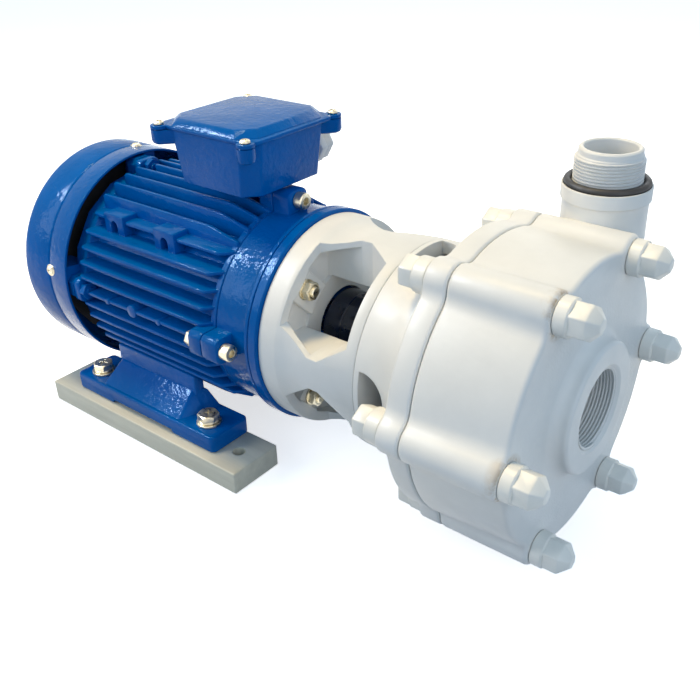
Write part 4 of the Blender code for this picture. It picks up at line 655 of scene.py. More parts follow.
class PUMP_OT_stage(bpy.types.Operator):
    """Sets up the floor, the light and the camera"""

    bl_idname = "pump.stage"
    bl_label = "Stage"

    def execute(self, context):
        scene = context.scene
        scene.view_settings.view_transform = "Standard"
        self.camera(scene)
        self.floor(context)
        self.lights(scene)
        return {"FINISHED"}

    def camera(self, scene):
        data = bpy.data.cameras.new("view")
        data.sensor_width = 36.0
        data.lens = 44.647
        data.clip_start = 0.01
        made = bpy.data.objects.new("view", data)
        scene.collection.objects.link(made)
        right = (0.77945951, 0.62578255, -0.02896671)
        up = (-0.2906962, 0.40226947, 0.86814457)
        back = (0.55492214, -0.66826303, 0.49546537)
        turn = Matrix((right, up, back)).transposed().to_4x4()
        made.matrix_world = Matrix.Translation((0.42704, -0.46977, 0.44227)) @ turn
        scene.camera = made

    def floor(self, context):
        """A pale floor that keeps the shadow and is lifted to white where it is seen."""
        deselect()
        bpy.ops.mesh.primitive_circle_add(
            vertices=64, radius=14.0, fill_type="NGON", location=(0.0, 0.0, -0.0006)
        )
        floor = context.object
        shifted(floor, floor.location)
        floor.name = "studio_floor"
        made = Finish("studio_floor", Roughness=0.8, Specular_IOR_Level=0.1)
        colour = tuple(context.scene.pump_colours.floor)
        made.colour(made.clouds(made.noise(2.0), colour, 0.97, 1.0))
        strength = context.scene.pump_sizes.floor_lift
        lift = made.node("ShaderNodeEmission", {"Color": (*colour, 1.0), "Strength": strength})
        lifted = made.node("ShaderNodeAddShader", {0: made.shader.outputs[0], 1: lift.outputs[0]})
        bounce = made.node("ShaderNodeBsdfDiffuse", {"Color": (0.26, 0.30, 0.36, 1.0)})
        self.blend(made, bounce, lifted, "Material Output")
        floor.data.materials.append(made.material)

    def blend(self, tree, lit, shown, end):
        """Gives the camera, also in a mirror or through glass, another surface than the light."""
        path = tree.node("ShaderNodeLightPath", {})
        seen = path.outputs["Is Camera Ray"]
        for name in ("Is Glossy Ray", "Is Transmission Ray"):
            inputs = {0: seen, 1: path.outputs[name]}
            seen = tree.node("ShaderNodeMath", inputs, operation="MAXIMUM").outputs[0]
        inputs = {0: seen, 1: lit.outputs[0], 2: shown.outputs[0]}
        made = tree.node("ShaderNodeMixShader", inputs)
        tree.links.new(made.outputs[0], tree.nodes[end].inputs["Surface"])

    def lights(self, scene):
        """A bluish surround, a white backdrop and soft lamps, one of which only adds sheen."""
        world = bpy.data.worlds.new("studio")
        world.use_nodes = True
        tree = Tree(world.node_tree)
        ambient = tree.nodes["Background"]
        ambient.inputs["Color"].default_value = (0.40, 0.70, 1.0, 1.0)
        ambient.inputs["Strength"].default_value = 0.50
        backdrop = tree.node("ShaderNodeBackground", {"Color": (1.0, 1.0, 1.0, 1.0)})
        self.blend(tree, ambient, backdrop, "World Output")
        scene.world = world
        self.lamp(scene, "key", (-0.35, -0.05, 1.60), 0.40, 16.0, (1.0, 0.74, 0.35))
        self.lamp(scene, "side", (-1.10, -1.25, 0.90), 0.8, 11.0, (0.98, 0.94, 0.92))
        self.lamp(scene, "fill", (1.30, -0.55, 0.75), 0.8, 4.6, (0.94, 0.95, 1.0))
        self.lamp(scene, "back", (-0.2, 1.3, 0.9), 0.9, 3.0, (0.90, 0.95, 1.0))
        sheen = self.lamp(scene, "sheen", (-0.75, -0.55, 1.05), 0.28, 22.0, (0.90, 0.95, 1.0))
        sheen.visible_diffuse = False

    def lamp(self, scene, name, spot, size, power, colour):
        data = bpy.data.lights.new(name, "AREA")
        data.shape = "SQUARE"
        data.size = size
        data.energy = power
        data.color = colour
        made = bpy.data.objects.new(name, data)
        made.location = spot
        aim = Vector((0.03, 0.0, 0.12)) - Vector(spot)
        made.rotation_euler = aim.to_track_quat("-Z", "Y").to_euler()
        scene.collection.objects.link(made)
        return made


class PUMP_OT_finishes(bpy.types.Operator):
    """Gives every CAD piece its paint, plastic or metal"""

    bl_idname = "pump.finishes"
    bl_label = "Finishes"

    def execute(self, context):
        FINISHES.update(build_finishes(context.scene.pump_colours))
        slots = {part["node"]: part["material_slot"] for part in frame["record"]["subparts"]}
        for name, obj in frame["nodes"].items():
            for slot in obj.material_slots:
                slot.material = FINISHES[slots[name]]
        return {"FINISHED"}


class PUMP_OT_housing(bpy.types.Operator):
    """Models the finned motor housing with its lugs, pads and pedestal"""

    bl_idname = "pump.housing"
    bl_label = "Motor housing"

    def execute(self, context):
        sizes = context.scene.pump_sizes
        rear, front = -0.213, -0.0453
        body = spun([
            (rear, 0.0717), (rear, 0.0823), (rear + 0.0007, 0.083), (rear + 0.0055, 0.083),
            (rear + 0.0075, 0.0805), (rear + 0.010, 0.077), (front - 0.010, 0.077),
            (front - 0.0075, 0.0805), (front - 0.0055, 0.083), (front - 0.0007, 0.083),
            (front, 0.0823), (front, 0.0717),
        ], sizes.round_steps)
        merged(body, joined(*self.fins(sizes)))
        merged(body, joined(*self.corner_fins(sizes)))
        merged(body, joined(*self.bosses()))
        cut(body, *self.rooms(SHIELD_SCREW_CIRCLE, front - 0.0235, front - 0.013),
            *self.rooms(REAR_SCREW_CIRCLE, rear + 0.0075, rear + 0.018))
        lugs = turned_copies(lug(0.100, front - 0.014, front), PORT_ANGLES)
        lugs += turned_copies(lug(0.094, rear, rear + 0.0085), PORT_ANGLES)
        merged(body, *lugs, *self.pads(), self.pedestal())
        bore = extruded(ring((0.0, 0.0), 0.0717, sizes.round_steps), rear - 0.01, front + 0.01)
        holes = pins(SHIELD_SCREW_CIRCLE, 0.0044, -0.062, -0.040, PORT_ANGLES)
        holes += pins(REAR_SCREW_CIRCLE, 0.0044, -0.218, -0.203, PORT_ANGLES)
        lead = extruded(ring((BOX_MIDDLE, 0.0), 0.013, 32), 0.060, 0.110, "Z")
        cut(body, bore, lead, *holes)
        place(body, "housing_shell", "motor_paint", ["stator_housing"], smooth=32.0)
        return {"FINISHED"}

    def fin(self, sizes, offset, root, crest, run, drop):
        """One fin on the +Y side at a height over the axis, sloped down at its front end."""
        half = sizes.fin_thickness / 2
        front = -0.0460
        outline = arc((-0.2045, crest - 0.004), 0.004, TURN / 2, TURN / 4, 4)
        outline += [(front - run, crest), (front - run * 0.86, crest - drop * 0.06)]
        outline += [(front - 0.0006, crest - drop * 0.95), (front, crest - drop - 0.0008)]
        outline += [(front, root), (-0.2085, root)]
        made = extruded(outline, offset - half, offset + half, "Z")
        return bevelled(made, 0.0010, 2, 40.0)

    def fins(self, sizes):
        """The level rows on the flanks and the upright rows above and below."""
        made = []
        for k in range(-4, 5):
            offset = k * sizes.fin_pitch
            root = math.sqrt(0.0745**2 - offset**2)
            crest = math.sqrt(0.091**2 - offset**2)
            level = self.fin(sizes, offset, root, crest, 0.010, 0.0105)
            upright = self.fin(sizes, offset, root, crest, 0.034, 0.0070)
            made += turned_copies(level, FLANKS)
            made += turned_copies(upright, PORT_ANGLES[1::2])
        return made

    def corner_fins(self, sizes):
        """The short level fins between the level and the upright rows."""
        made = []
        for offset in (5 * sizes.fin_pitch, -5 * sizes.fin_pitch):
            crest = math.sqrt(0.089**2 - offset**2)
            root = 4 * sizes.fin_pitch - 0.0005
            made += turned_copies(self.fin(sizes, offset, root, crest, 0.010, 0.0085), FLANKS)
        return made

    def bosses(self):
        """The round cast bosses on the middle fin of each flank."""
        made = []
        for x, radius in ((-0.170, 0.0028), (-0.138, 0.0056), (-0.105, 0.0028)):
            boss = extruded(ring((x, 0.0), radius, 24), 0.0740, 0.0916, "Y")
            made += turned_copies(bevelled(boss, 0.0006, 2, 40.0), FLANKS)
        return made

    def rooms(self, circle, low, high):
        """Spaces cleared of fins for the nuts behind the lugs."""
        outline = box_outline(circle - 0.009, 0.112, -0.009, 0.009, 0.003)
        return turned_copies(extruded(outline, low, high), PORT_ANGLES)

    def pads(self):
        """Blocks on the flanks, each with an arched notch that opens towards the middle."""
        corners = [(side, level) for side in (-1, 1) for level in (-1, 1)]
        return [self.pad(x, side, level) for side, level in corners for x in (-0.178, -0.115)]

    def pad(self, x, side, level):
        low, high = sorted((level * 0.0505, level * 0.068))
        near, far = sorted((side * 0.037, side * 0.066))
        block = extruded(box_outline(x - 0.0125, x + 0.0125, low, high, 0.0015), near, far, "Y")
        bevelled(block, 0.0009, 2, 40.0)
        half, mouth = 0.0042, level * 0.0480
        end = 0.0 if level > 0 else TURN
        notch = [(x - half, mouth)] + arc((x, level * 0.0580), half, TURN / 2, end, 12)
        notch += [(x + half, mouth)]
        near, far = sorted((side * 0.056, side * 0.070))
        return cut(block, extruded(notch, near, far, "Y"))

    def pedestal(self):
        """The block under the terminal box, its corners cut straight."""
        block = extruded(box_outline(-0.116, -0.0468, -0.038, 0.038, 0.011, 1), 0.064, 0.102, "Z")
        return bevelled(block, 0.0012, 2, 30.0)


class PUMP_OT_shields(bpy.types.Operator):
    """Models the front bearing shield with its flange, and the cowl over the fan"""

    bl_idname = "pump.shields"
    bl_label = "Front shield and fan cowl"

    def execute(self, context):
        steps = context.scene.pump_sizes.round_steps
        self.shield(steps)
        self.cowl(steps)
        self.cowl_screws()
        return {"FINISHED"}

    def shield(self, steps):
        rear = -0.045
        outside = [
            (rear - 0.005, 0.0712), (rear, 0.0712), (rear, 0.0824), (rear + 0.0006, 0.083),
            (-0.0165, 0.083), (-0.0145, 0.0833), (-0.0130, 0.0842), (-0.0122, 0.0856),
            (-0.0118, 0.0866), (-0.0112, 0.087), (-0.0088, 0.087), (-0.0084, 0.0866),
        ]
        shut_line = [(-0.0084, 0.0860), (-0.0078, 0.0860), (-0.0078, 0.0866), (-0.0074, 0.087)]
        flange = [
            (-0.0006, 0.087), (0.0, 0.0864), (0.0, 0.055), (0.0035, 0.055), (0.0035, 0.016),
        ]
        inside = [
            (-0.0237, 0.016), (-0.0237, 0.0313), (-0.042, 0.0313), (-0.042, 0.038),
            (-0.012, 0.042), (-0.012, 0.071), (rear - 0.005, 0.0662),
        ]
        body = spun(outside + shut_line + flange + inside, steps)
        merged(body, *turned_copies(lug(0.100, rear, -0.028), PORT_ANGLES))
        holes = pins(SHIELD_SCREW_CIRCLE, 0.0044, -0.050, -0.020, PORT_ANGLES)
        holes += pins(STUD_CIRCLE, 0.0044, -0.0096, 0.005, WINDOW_ANGLES)
        cut(body, *holes)
        place(body, "front_shield", "motor_paint", ["drive_end_shield"], smooth=32.0)

    def cowl(self, steps):
        """A sheet cap with a pressed crease, its back opened by rings of slots."""
        back, sheet = -0.282, 0.0016
        outer = [(-0.217, 0.0978), (-0.2172, 0.098), (-0.2385, 0.098), (-0.2395, 0.0976)]
        outer += [(-0.2405, 0.0968), (-0.2415, 0.0976), (-0.2425, 0.098)]
        outer += arc((back + 0.009, 0.089), 0.009, TURN / 4, TURN / 2, 8)
        inner = [(x + sheet * 0.2, radius - sheet) for x, radius in outer[:7]]
        inner += arc((back + 0.009, 0.089), 0.009 - sheet, TURN / 4, TURN / 2, 8)
        body = spun(outer + [(back, 0.0)] + [(back + sheet, 0.0)] + inner[::-1], steps)
        slots = []
        for radius in (0.034, 0.052, 0.070):
            rib = 0.00225 / radius
            for k in range(5):
                start, end = TURN * k / 5 + rib, TURN * (k + 1) / 5 - rib
                outline = arc((0.0, 0.0), radius + 0.0045, start, end, 12)
                outline += arc((0.0, 0.0), radius - 0.0045, end, start, 12)
                slots.append(extruded(outline, back - 0.005, back + 0.005))
        cut(body, joined(*slots))
        place(body, "cowl_shell", "motor_paint", ["fan_cowl"], smooth=32.0)

    def cowl_screws(self):
        """Pan-head screws on washers that hold the cowl to the rear shield."""
        head = spun([
            (0.0972, 0.0), (0.0972, 0.0052), (0.0982, 0.0052), (0.0982, 0.0040), (0.0992, 0.0038),
            (0.1000, 0.0030), (0.1004, 0.0016), (0.1005, 0.0),
        ], 32, loop=False, axis="Z")
        cut(head, *cross_recess(0.0026, 0.0008, 0.0990, 0.1015))
        shifted(head, (-0.238, 0.0, 0.0), (-TURN / 4, 0.0, 0.0))
        angles = [angle - math.radians(8.0) for angle in PORT_ANGLES]
        place_round(head, angles, "cowl_screw", None, "zinc", 30.0)


class PUMP_OT_terminal_box(bpy.types.Operator):
    """Models the terminal box, its lid and the cable gland"""

    bl_idname = "pump.terminal_box"
    bl_label = "Terminal box"

    def execute(self, context):
        self.box()
        self.lid()
        self.gland()
        return {"FINISHED"}

    def plan(self, half_x, half_y, corner=0.0115, steps=1):
        """The box seen from above, its corners cut straight or rounded."""
        low, high = BOX_MIDDLE - half_x, BOX_MIDDLE + half_x
        return box_outline(low, high, -half_y, half_y, corner, steps)

    def upright(self, spots, radius, low, high, steps):
        """Upright round bars, to add to a piece or to cut holes with."""
        return [extruded(ring(spot, radius, steps), low, high, "Z") for spot in spots]

    def ears(self, low, ease, top, radius=0.0068):
        """Round screw ears at the corners, running back into the box and domed underneath."""
        made = []
        layers = ((low, 0.55), (low + ease * 0.35, 0.86), (low + ease, 1.0), (top, 1.0))
        for x, y in LID_SCREWS:
            out = math.atan2(y, x - BOX_MIDDLE)
            sections = []
            for level, size in layers:
                grown = radius * size
                outline = arc((x, y), grown, out - TURN / 4, out + TURN / 4, 12)
                for turn in (TURN / 4, -TURN / 4):
                    outline.append((
                        x - 0.0156 * math.cos(out) + grown * math.cos(out + turn),
                        y - 0.0156 * math.sin(out) + grown * math.sin(out + turn),
                    ))
                sections.append((level, outline))
            made.append(bridged(sections, "Z"))
        return made

    def box(self):
        low, top = 0.1023, 0.1443
        body = bridged([(low, self.plan(0.0425, 0.043)), (top, self.plan(0.0475, 0.0455))], "Z")
        bevelled(body, 0.0012, 3, 30.0)
        merged(body, *self.ears(top - 0.0115, 0.0035, top))
        cavity = bridged([
            (low + 0.005, self.plan(0.0385, 0.039, 0.008)),
            (top + 0.002, self.plan(0.0436, 0.0416, 0.008)),
        ], "Z")
        lead = extruded(ring((BOX_MIDDLE, 0.0), 0.013, 32), low - 0.01, low + 0.01, "Z")
        port = extruded(ring((BOX_MIDDLE + 0.023, low + 0.016), 0.0085, 32), 0.031, 0.056, "Y")
        screws = self.upright(LID_SCREWS, 0.0025, top - 0.012, top + 0.01, 16)
        cut(body, cavity, lead, port, *screws)
        place(body, "terminal_box_body", "motor_paint", ["terminal_box"], smooth=32.0)

    def lid(self):
        low = 0.1446
        rim = self.plan(0.0515, 0.0475, 0.010, 6)
        body = bridged([(low, rim), (low + 0.0030, rim)], "Z")
        bevelled(body, 0.0009, 3, 30.0)
        crown = bridged([
            (low + height, self.plan(half_x, half_y, corner))
            for height, half_x, half_y, corner in (
                (0.001, 0.0472, 0.0468, 0.013), (0.0033, 0.0469, 0.0465, 0.013),
                (0.0076, 0.0425, 0.0428, 0.012), (0.0083, 0.0416, 0.0420, 0.012),
                (0.0085, 0.0404, 0.0410, 0.0118),
            )
        ], "Z")
        rims = self.upright(LID_SCREWS, 0.0068, low, low + 0.003, 32)
        for ear in rims:
            bevelled(ear, 0.0006, 2, 50.0)
        recesses = self.upright(LID_SCREWS, 0.0056, low + 0.003, low + 0.02, 32)
        holes = self.upright(LID_SCREWS, 0.0024, low - 0.01, low + 0.01, 16)
        merged(body, crown, *rims)
        cut(body, *recesses, *holes)
        place(body, "terminal_box_cover", "motor_paint", ["terminal_box_lid"], smooth=32.0)

    def gland(self):
        centre = (BOX_MIDDLE + 0.023, 0.1183)
        shank = extruded(ring(centre, 0.008, 32), 0.035, 0.048, "Y")
        flange = bevelled(extruded(hexagon(centre, 0.024), 0.0458, 0.0528, "Y"), 0.0008, 2, 40.0)
        nut = bridged([
            (0.0526, hexagon(centre, 0.022)), (0.0600, hexagon(centre, 0.022)),
            (0.0640, hexagon(centre, 0.0175)), (0.0658, hexagon(centre, 0.0136)),
        ], "Y")
        bevelled(nut, 0.0006, 2, 20.0)
        merged(shank, flange, nut)
        cut(shank, extruded(ring(centre, 0.005, 32), 0.020, 0.080, "Y"))
        place(shank, "gland_body", "gland", ["cable_gland"], smooth=30.0)


class PUMP_OT_base(bpy.types.Operator):
    """Models the feet and the riser bars under them"""

    bl_idname = "pump.base"
    bl_label = "Feet and riser bars"

    def execute(self, context):
        for side, name in ((-1, "near"), (1, "far")):
            self.bar(side, name)
            self.foot(side, name)
        return {"FINISHED"}

    def bar(self, side, name):
        near, far = sorted((side * 0.059, side * 0.109))
        body = extruded(box_outline(-0.254, -0.014, near, far, 0.0012, 3), -0.120, -0.1003, "Z")
        bevelled(body, 0.0012, 3, 50.0)
        anchors = [(x, side * FOOT_BOLT_LINE) for x in (-0.235, -0.033)]
        holes = [extruded(ring(spot, 0.0055, 32), -0.130, -0.090, "Z") for spot in anchors]
        bolts = [(x, side * FOOT_BOLT_LINE) for x in FOOT_HOLES]
        holes += [extruded(ring(spot, 0.0055, 32), -0.1160, -0.090, "Z") for spot in bolts]
        cut(body, *holes)
        place(body, f"riser_bar_body_{name}", "bar", [f"riser_bar_{name}"], smooth=30.0)

    def foot(self, side, name):
        """A plate on two end pads, with a hipped web that rises to the housing's pads."""
        near, far = sorted((side * 0.058, side * 0.100))
        body = extruded(box_outline(-0.226, -0.046, near, far, 0.005, 6), -0.100, -0.085, "Z")
        bevelled(body, 0.0016, 3, 50.0)
        arch = [(-0.178, -0.1010), (-0.094, -0.1010), (-0.098, -0.096), (-0.174, -0.096)]
        relief = extruded(arch, -0.12, 0.12, "Y")
        bottom = [(-0.190, 0.0985), (-0.089, 0.0985), (-0.0765, 0.0590), (-0.194, 0.0590)]
        top = [(-0.185, 0.0765), (-0.0925, 0.0765), (-0.0840, 0.0664), (-0.188, 0.0664)]
        hip = bridged([
            (level, [(x, side * y) for x, y in outline])
            for level, outline in ((-0.0865, bottom), (-0.0672, top))
        ], "Z")
        bevelled(hip, 0.0016, 3, 20.0)
        near, far = sorted((side * 0.0663, side * 0.0763))
        wall = extruded(box_outline(-0.188, -0.088, -0.074, -0.053, 0.0015, 3), near, far, "Y")
        bevelled(wall, 0.0012, 2, 50.0)
        merged(body, hip, wall)
        bolts = [(x, side * FOOT_BOLT_LINE) for x in FOOT_HOLES]
        holes = [extruded(ring(spot, 0.0055, 32), -0.105, -0.060, "Z") for spot in bolts]
        cut(body, relief, *holes)
        place(body, f"foot_body_{name}", "motor_paint", [f"foot_{name}"], smooth=32.0)


class PUMP_OT_fasteners(bpy.types.Operator):
    """Models the bolts of the feet, the screws of shield and lid, and the nuts in the lantern"""

    bl_idname = "pump.fasteners"
    bl_label = "Bolts, screws and nuts"

    def execute(self, context):
        self.foot_bolts()
        self.shield_screws()
        self.lantern_nuts()
        self.lid_screws()
        return {"FINISHED"}

    def foot_bolts(self):
        seat = -0.0847
        flat = spun([
            (seat, 0.0052), (seat, 0.0103), (seat + 0.0002, 0.0105), (seat + 0.0017, 0.0105),
            (seat + 0.0019, 0.0103), (seat + 0.0019, 0.0052),
        ], 48, axis="Z")
        split = arc((0.0, 0.0), 0.0086, 0.25, TURN - 0.05, 44)
        split += arc((0.0, 0.0), 0.0051, TURN - 0.05, 0.25, 44)
        spring = extruded(split, seat + 0.0021, seat + 0.0039, "Z")
        bevelled(spring, 0.0003, 2, 50.0)
        head = hex_head(0.016, seat + 0.0040, seat + 0.0095, 0.0005)
        cut(head, *cross_recess(0.0042, 0.0011, seat + 0.0072, seat + 0.012))
        shank = extruded(ring((0.0, 0.0), 0.005, 24), -0.113, seat + 0.0045, "Z")
        bolt = joined(merged(head, shank), flat, spring)
        spots = [(x, y) for y in (-FOOT_BOLT_LINE, FOOT_BOLT_LINE) for x in FOOT_HOLES]
        self.set_out(bolt, spots, "foot_bolt", 25.0)

    def set_out(self, piece, spots, name, smooth):
        """Copies an upright piece to its places, each copy turned a little more."""
        for number, (x, y) in enumerate(spots, 1):
            copy = piece.copy()
            copy.data = piece.data.copy()
            bpy.context.scene.collection.objects.link(copy)
            shifted(copy, (x, y, 0.0), (0.0, 0.0, 0.4 * number))
            place(copy, f"{name}_body_{number}", "zinc", [f"{name}_{number}"], smooth=smooth)
        bpy.data.objects.remove(piece, do_unlink=True)

    def shield_screws(self):
        head = -0.0277
        body = spun([
            (-0.0672, 0.0), (-0.0672, 0.0036), (-0.0668, 0.004), (head, 0.004), (head, 0.0061),
            (head + 0.0004, 0.0065), (head + 0.0072, 0.0065), (head + 0.0080, 0.0057),
            (head + 0.0080, 0.0),
        ], 48, loop=False)
        nut = extruded(hexagon((0.0, 0.0), 0.013), -0.0651, -0.0586)
        bevelled(nut, 0.0005, 2, 40.0)
        merged(body, nut)
        cut(body, extruded(hexagon((0.0, 0.0), 0.006), head + 0.0035, head + 0.010))
        shifted(body, (0.0, SHIELD_SCREW_CIRCLE, 0.0))
        place_round(body, PORT_ANGLES, "shield_screw_body", "shield_screw", "zinc", 30.0)

    def lantern_nuts(self):
        seat = 0.0173
        washer = spun([
            (seat, 0.0), (seat, 0.0080), (seat + 0.0013, 0.0080), (seat + 0.0013, 0.0),
        ], 48, loop=False)
        stud = spun([
            (-0.009, 0.0), (-0.009, 0.004), (seat + 0.0092, 0.004), (seat + 0.0098, 0.0034),
            (seat + 0.0098, 0.0),
        ], 32, loop=False)
        nut = hex_head(0.013, seat + 0.0014, seat + 0.0079, 0.0006)
        shifted(nut, (0.0, 0.0, 0.0), (0.0, TURN / 4, 0.0))
        merged(stud, washer, nut)
        shifted(stud, (0.0, STUD_CIRCLE, 0.0))
        place_round(stud, WINDOW_ANGLES, "lantern_nut_body", "lantern_nut", "zinc", 30.0)

    def lid_screws(self):
        seat = 0.1479
        body = spun([
            (0.1343, 0.0), (0.1343, 0.002), (seat, 0.002), (seat, 0.0037), (seat + 0.0003, 0.004),
            (seat + 0.0014, 0.0039), (seat + 0.0022, 0.0032), (seat + 0.0027, 0.0018),
            (seat + 0.0028, 0.0),
        ], 32, loop=False, axis="Z")
        cut(body, *cross_recess(0.0024, 0.0008, seat + 0.0013, seat + 0.004))
        self.set_out(body, LID_SCREWS, "lid_screw", 30.0)


class PUMP_OT_shaft(bpy.types.Operator):
    """Models the black sleeve that turns in the lantern"""

    bl_idname = "pump.shaft"
    bl_label = "Coupling sleeve"

    def execute(self, context):
        steps = context.scene.pump_sizes.round_steps
        body = spun([
            (0.062, 0.0), (0.062, 0.0143), (0.0145, 0.0143), (0.0145, 0.0262), (0.0153, 0.027),
            (0.0300, 0.027), (0.0304, 0.0266), (0.0312, 0.0266), (0.0316, 0.027), (0.0905, 0.027),
            (0.092, 0.0255), (0.092, 0.017), (0.1545, 0.017), (0.1545, 0.012), (0.1840, 0.012),
            (0.1850, 0.011), (0.1850, 0.0),
        ], steps, loop=False)
        place(body, "sleeve_body", "black_gloss", ["coupling_sleeve"], body="rotor", smooth=30.0)
        return {"FINISHED"}


class PUMP_OT_front_casing(bpy.types.Operator):
    """Models the front casing: lobed volute body, suction boss and discharge branch"""

    bl_idname = "pump.front_casing"
    bl_label = "Front casing"

    def execute(self, context):
        sizes = context.scene.pump_sizes
        steps = sizes.round_steps
        body = bridged([
            (0.1503, lobed(CASING_RADIUS)),
            (0.220, lobed(0.103)),
        ])
        bevelled(body, sizes.casing_edge, 4, 50.0)
        merged(body, self.boss(steps), self.branch())
        bore = spun([
            (0.190, 0.0), (0.190, 0.029), (0.2056, 0.029), (0.2061, 0.0284), (0.2294, 0.0284),
            (0.2316, 0.0315), (0.2416, 0.0315), (0.2416, 0.0),
        ], steps, loop=False)
        outlet = spun([
            (0.045, 0.0), (0.045, 0.018), (0.0947, 0.018), (0.0947, 0.0242), (0.1168, 0.0242),
            (0.1168, 0.0299), (0.131, 0.0299), (0.131, 0.0),
        ], 96, loop=False, axis="Z", centre=DISCHARGE)
        holes = pins(BOLT_CIRCLE, 0.0054, 0.145, 0.225, BOLT_ANGLES)
        cut(body, bore, outlet, *holes)
        pitch = sizes.thread_pitch
        thread = ridge(0.0290, 0.0272, pitch, sizes.suction_turns, 96)
        shifted(thread, (0.2300 - pitch * sizes.suction_turns, 0.0, 0.0), (0.0, TURN / 4, 0.0))
        joined(body, thread)
        place(body, "front_casing_shell", "pump_body", ["front_casing"], finish="front_body")
        return {"FINISHED"}

    def boss(self, steps):
        """The suction boss, faired into the casing's front."""
        sweep = arc((0.228, 0.055), 0.008, math.pi, math.pi * 1.5, 10)
        corner = arc((0.2316 - 0.003, 0.047 - 0.003), 0.003, TURN / 4, 0.0, 5)
        return spun(
            [(0.210, 0.0), (0.210, 0.0555), (0.2195, 0.0555)] + sweep + corner + [(0.2316, 0.0)],
            steps, loop=False,
        )

    def branch(self):
        """The upright discharge branch with its slightly wider rim."""
        profile = [
            (0.010, 0.0), (0.010, 0.014), (0.032, 0.0283), (0.040, 0.0303), (0.1090, 0.0295),
            (0.1105, 0.0300), (0.1112, 0.0310), (0.1202, 0.0310),
        ]
        lip = arc((0.0302, 0.1202), 0.0008, 0.0, TURN / 4, 3)[1:]
        profile += [(along, radius) for radius, along in lip] + [(0.121, 0.0)]
        return spun(profile, 96, loop=False, axis="Z", centre=DISCHARGE)


class PUMP_OT_rear_casing(bpy.types.Operator):
    """Models the rear casing: lobed flange and ported neck"""

    bl_idname = "pump.rear_casing"
    bl_label = "Rear casing"

    def execute(self, context):
        sizes = context.scene.pump_sizes
        steps = sizes.round_steps
        neck = spun([
            (0.0843, 0.053), (0.0843, 0.060), (0.0883, 0.060), (0.0883, 0.0818),
            (0.0890, 0.0825), (0.1175, 0.0825), (0.1225, 0.0828), (0.1272, 0.0843),
            (0.1310, 0.0870), (0.1340, 0.0884),
            (0.149, 0.0884), (0.149, 0.0235), (0.1317, 0.0235), (0.1317, 0.0283), (0.128, 0.0283),
            (0.128, 0.073), (0.0933, 0.073), (0.0933, 0.053),
        ], steps)
        plate = bridged([
            (0.133, lobed(CASING_RADIUS)),
            (0.150, lobed(CASING_RADIUS)),
        ])
        bevelled(plate, 0.0018, 3, 50.0)
        merged(neck, plate)
        chamber = spun([(0.141, 0.0), (0.141, 0.076), (0.160, 0.076), (0.160, 0.0)], 96, loop=False)
        groove = spun([(0.1459, 0.0888), (0.1459, 0.0932), (0.155, 0.0932), (0.155, 0.0888)], 96)
        bore = extruded(ring((0.0, 0.0), 0.026, 64), 0.118, 0.150)
        arch = [(0.093, -0.019), (0.095, -0.019)]
        arch += [(0.095 + x, y) for x, y in arc((0.0, 0.0), 0.019, -TURN / 4, TURN / 4, 24)[1:]]
        arch += [(0.093, 0.019)]
        ports = turned_copies(extruded(arch, 0.056, 0.103, "Z"), PORT_ANGLES)
        holes = pins(BOLT_CIRCLE, 0.0054, 0.128, 0.155, BOLT_ANGLES)
        cut(neck, chamber, groove, bore, *ports, *holes)
        place(neck, "rear_casing_shell", "pump_body", ["rear_casing"])
        return {"FINISHED"}


class PUMP_OT_lantern(bpy.types.Operator):
    """Models the open lantern between motor and pump"""

    bl_idname = "pump.lantern"
    bl_label = "Lantern"

    def execute(self, context):
        steps = context.scene.pump_sizes.round_steps
        body = spun([
            (0.0003, 0.0553), (0.0003, 0.0836), (0.0007, 0.084), (0.0155, 0.084), (0.0175, 0.0837),
            (0.021, 0.0822), (0.026, 0.0808), (0.034, 0.080), (0.087, 0.0824), (0.088, 0.0818),
            (0.088, 0.0603), (0.0837, 0.0603), (0.0837, 0.046), (0.0140, 0.046), (0.0140, 0.0285),
            (0.0041, 0.0285), (0.0041, 0.0553),
        ], steps)
        cut(body, *turned_copies(self.window(), PORT_ANGLES))
        cut(body, *turned_copies(self.undercut(), PORT_ANGLES))
        pockets = [self.pocket(side, angle) for side in (1, -1) for angle in WINDOW_ANGLES]
        recess = extruded(box_outline(0.044, 0.073, -0.013, 0.013), 0.017, 0.023)
        recesses = turned_copies(recess, WINDOW_ANGLES)
        studs = pins(STUD_CIRCLE, 0.0046, -0.005, 0.022, WINDOW_ANGLES)
        cut(body, *pockets, *recesses, *studs)
        place(body, "lantern_shell", "pump_body", ["lantern"])
        return {"FINISHED"}

    def window(self):
        """The space between two webs: octagonal from outside, with walls along the webs."""
        low, high = 0.0128, 0.0298
        return bridged([
            (x, box_outline(inset, 0.11, inset, 0.11))
            for x, inset in ((0.0190, high), (0.0445, low), (0.0535, low), (0.0790, high))
        ])

    def undercut(self):
        """The room behind the shell at the two corners of a window next to the flange."""
        room = extruded(box_outline(WEB_FACE, 0.11, WEB_FACE, 0.11), 0.0190, 0.0443)
        inside = spun([
            (0.015, 0.0), (0.015, SHELL_INSIDE), (0.048, SHELL_INSIDE), (0.048, 0.0),
        ], 144, loop=False)
        return boolean(room, [inside], "INTERSECT")

    def pocket(self, side, angle):
        """The hollow between the pad of a stud and the web beside it."""
        hub, pad = 0.045, 0.0125
        outer, inner = (TURN / 8 - math.asin(WEB_FACE / radius) for radius in (SHELL_INSIDE, hub))
        outline = arc((0.0, 0.0), SHELL_INSIDE, math.asin(pad / SHELL_INSIDE), outer, 8)
        outline += arc((0.0, 0.0), hub, inner, math.asin(pad / hub), 6)
        outline = [(y, side * z) for y, z in outline]
        return turned_copies(extruded(outline, 0.011, 0.023), [angle])[0]


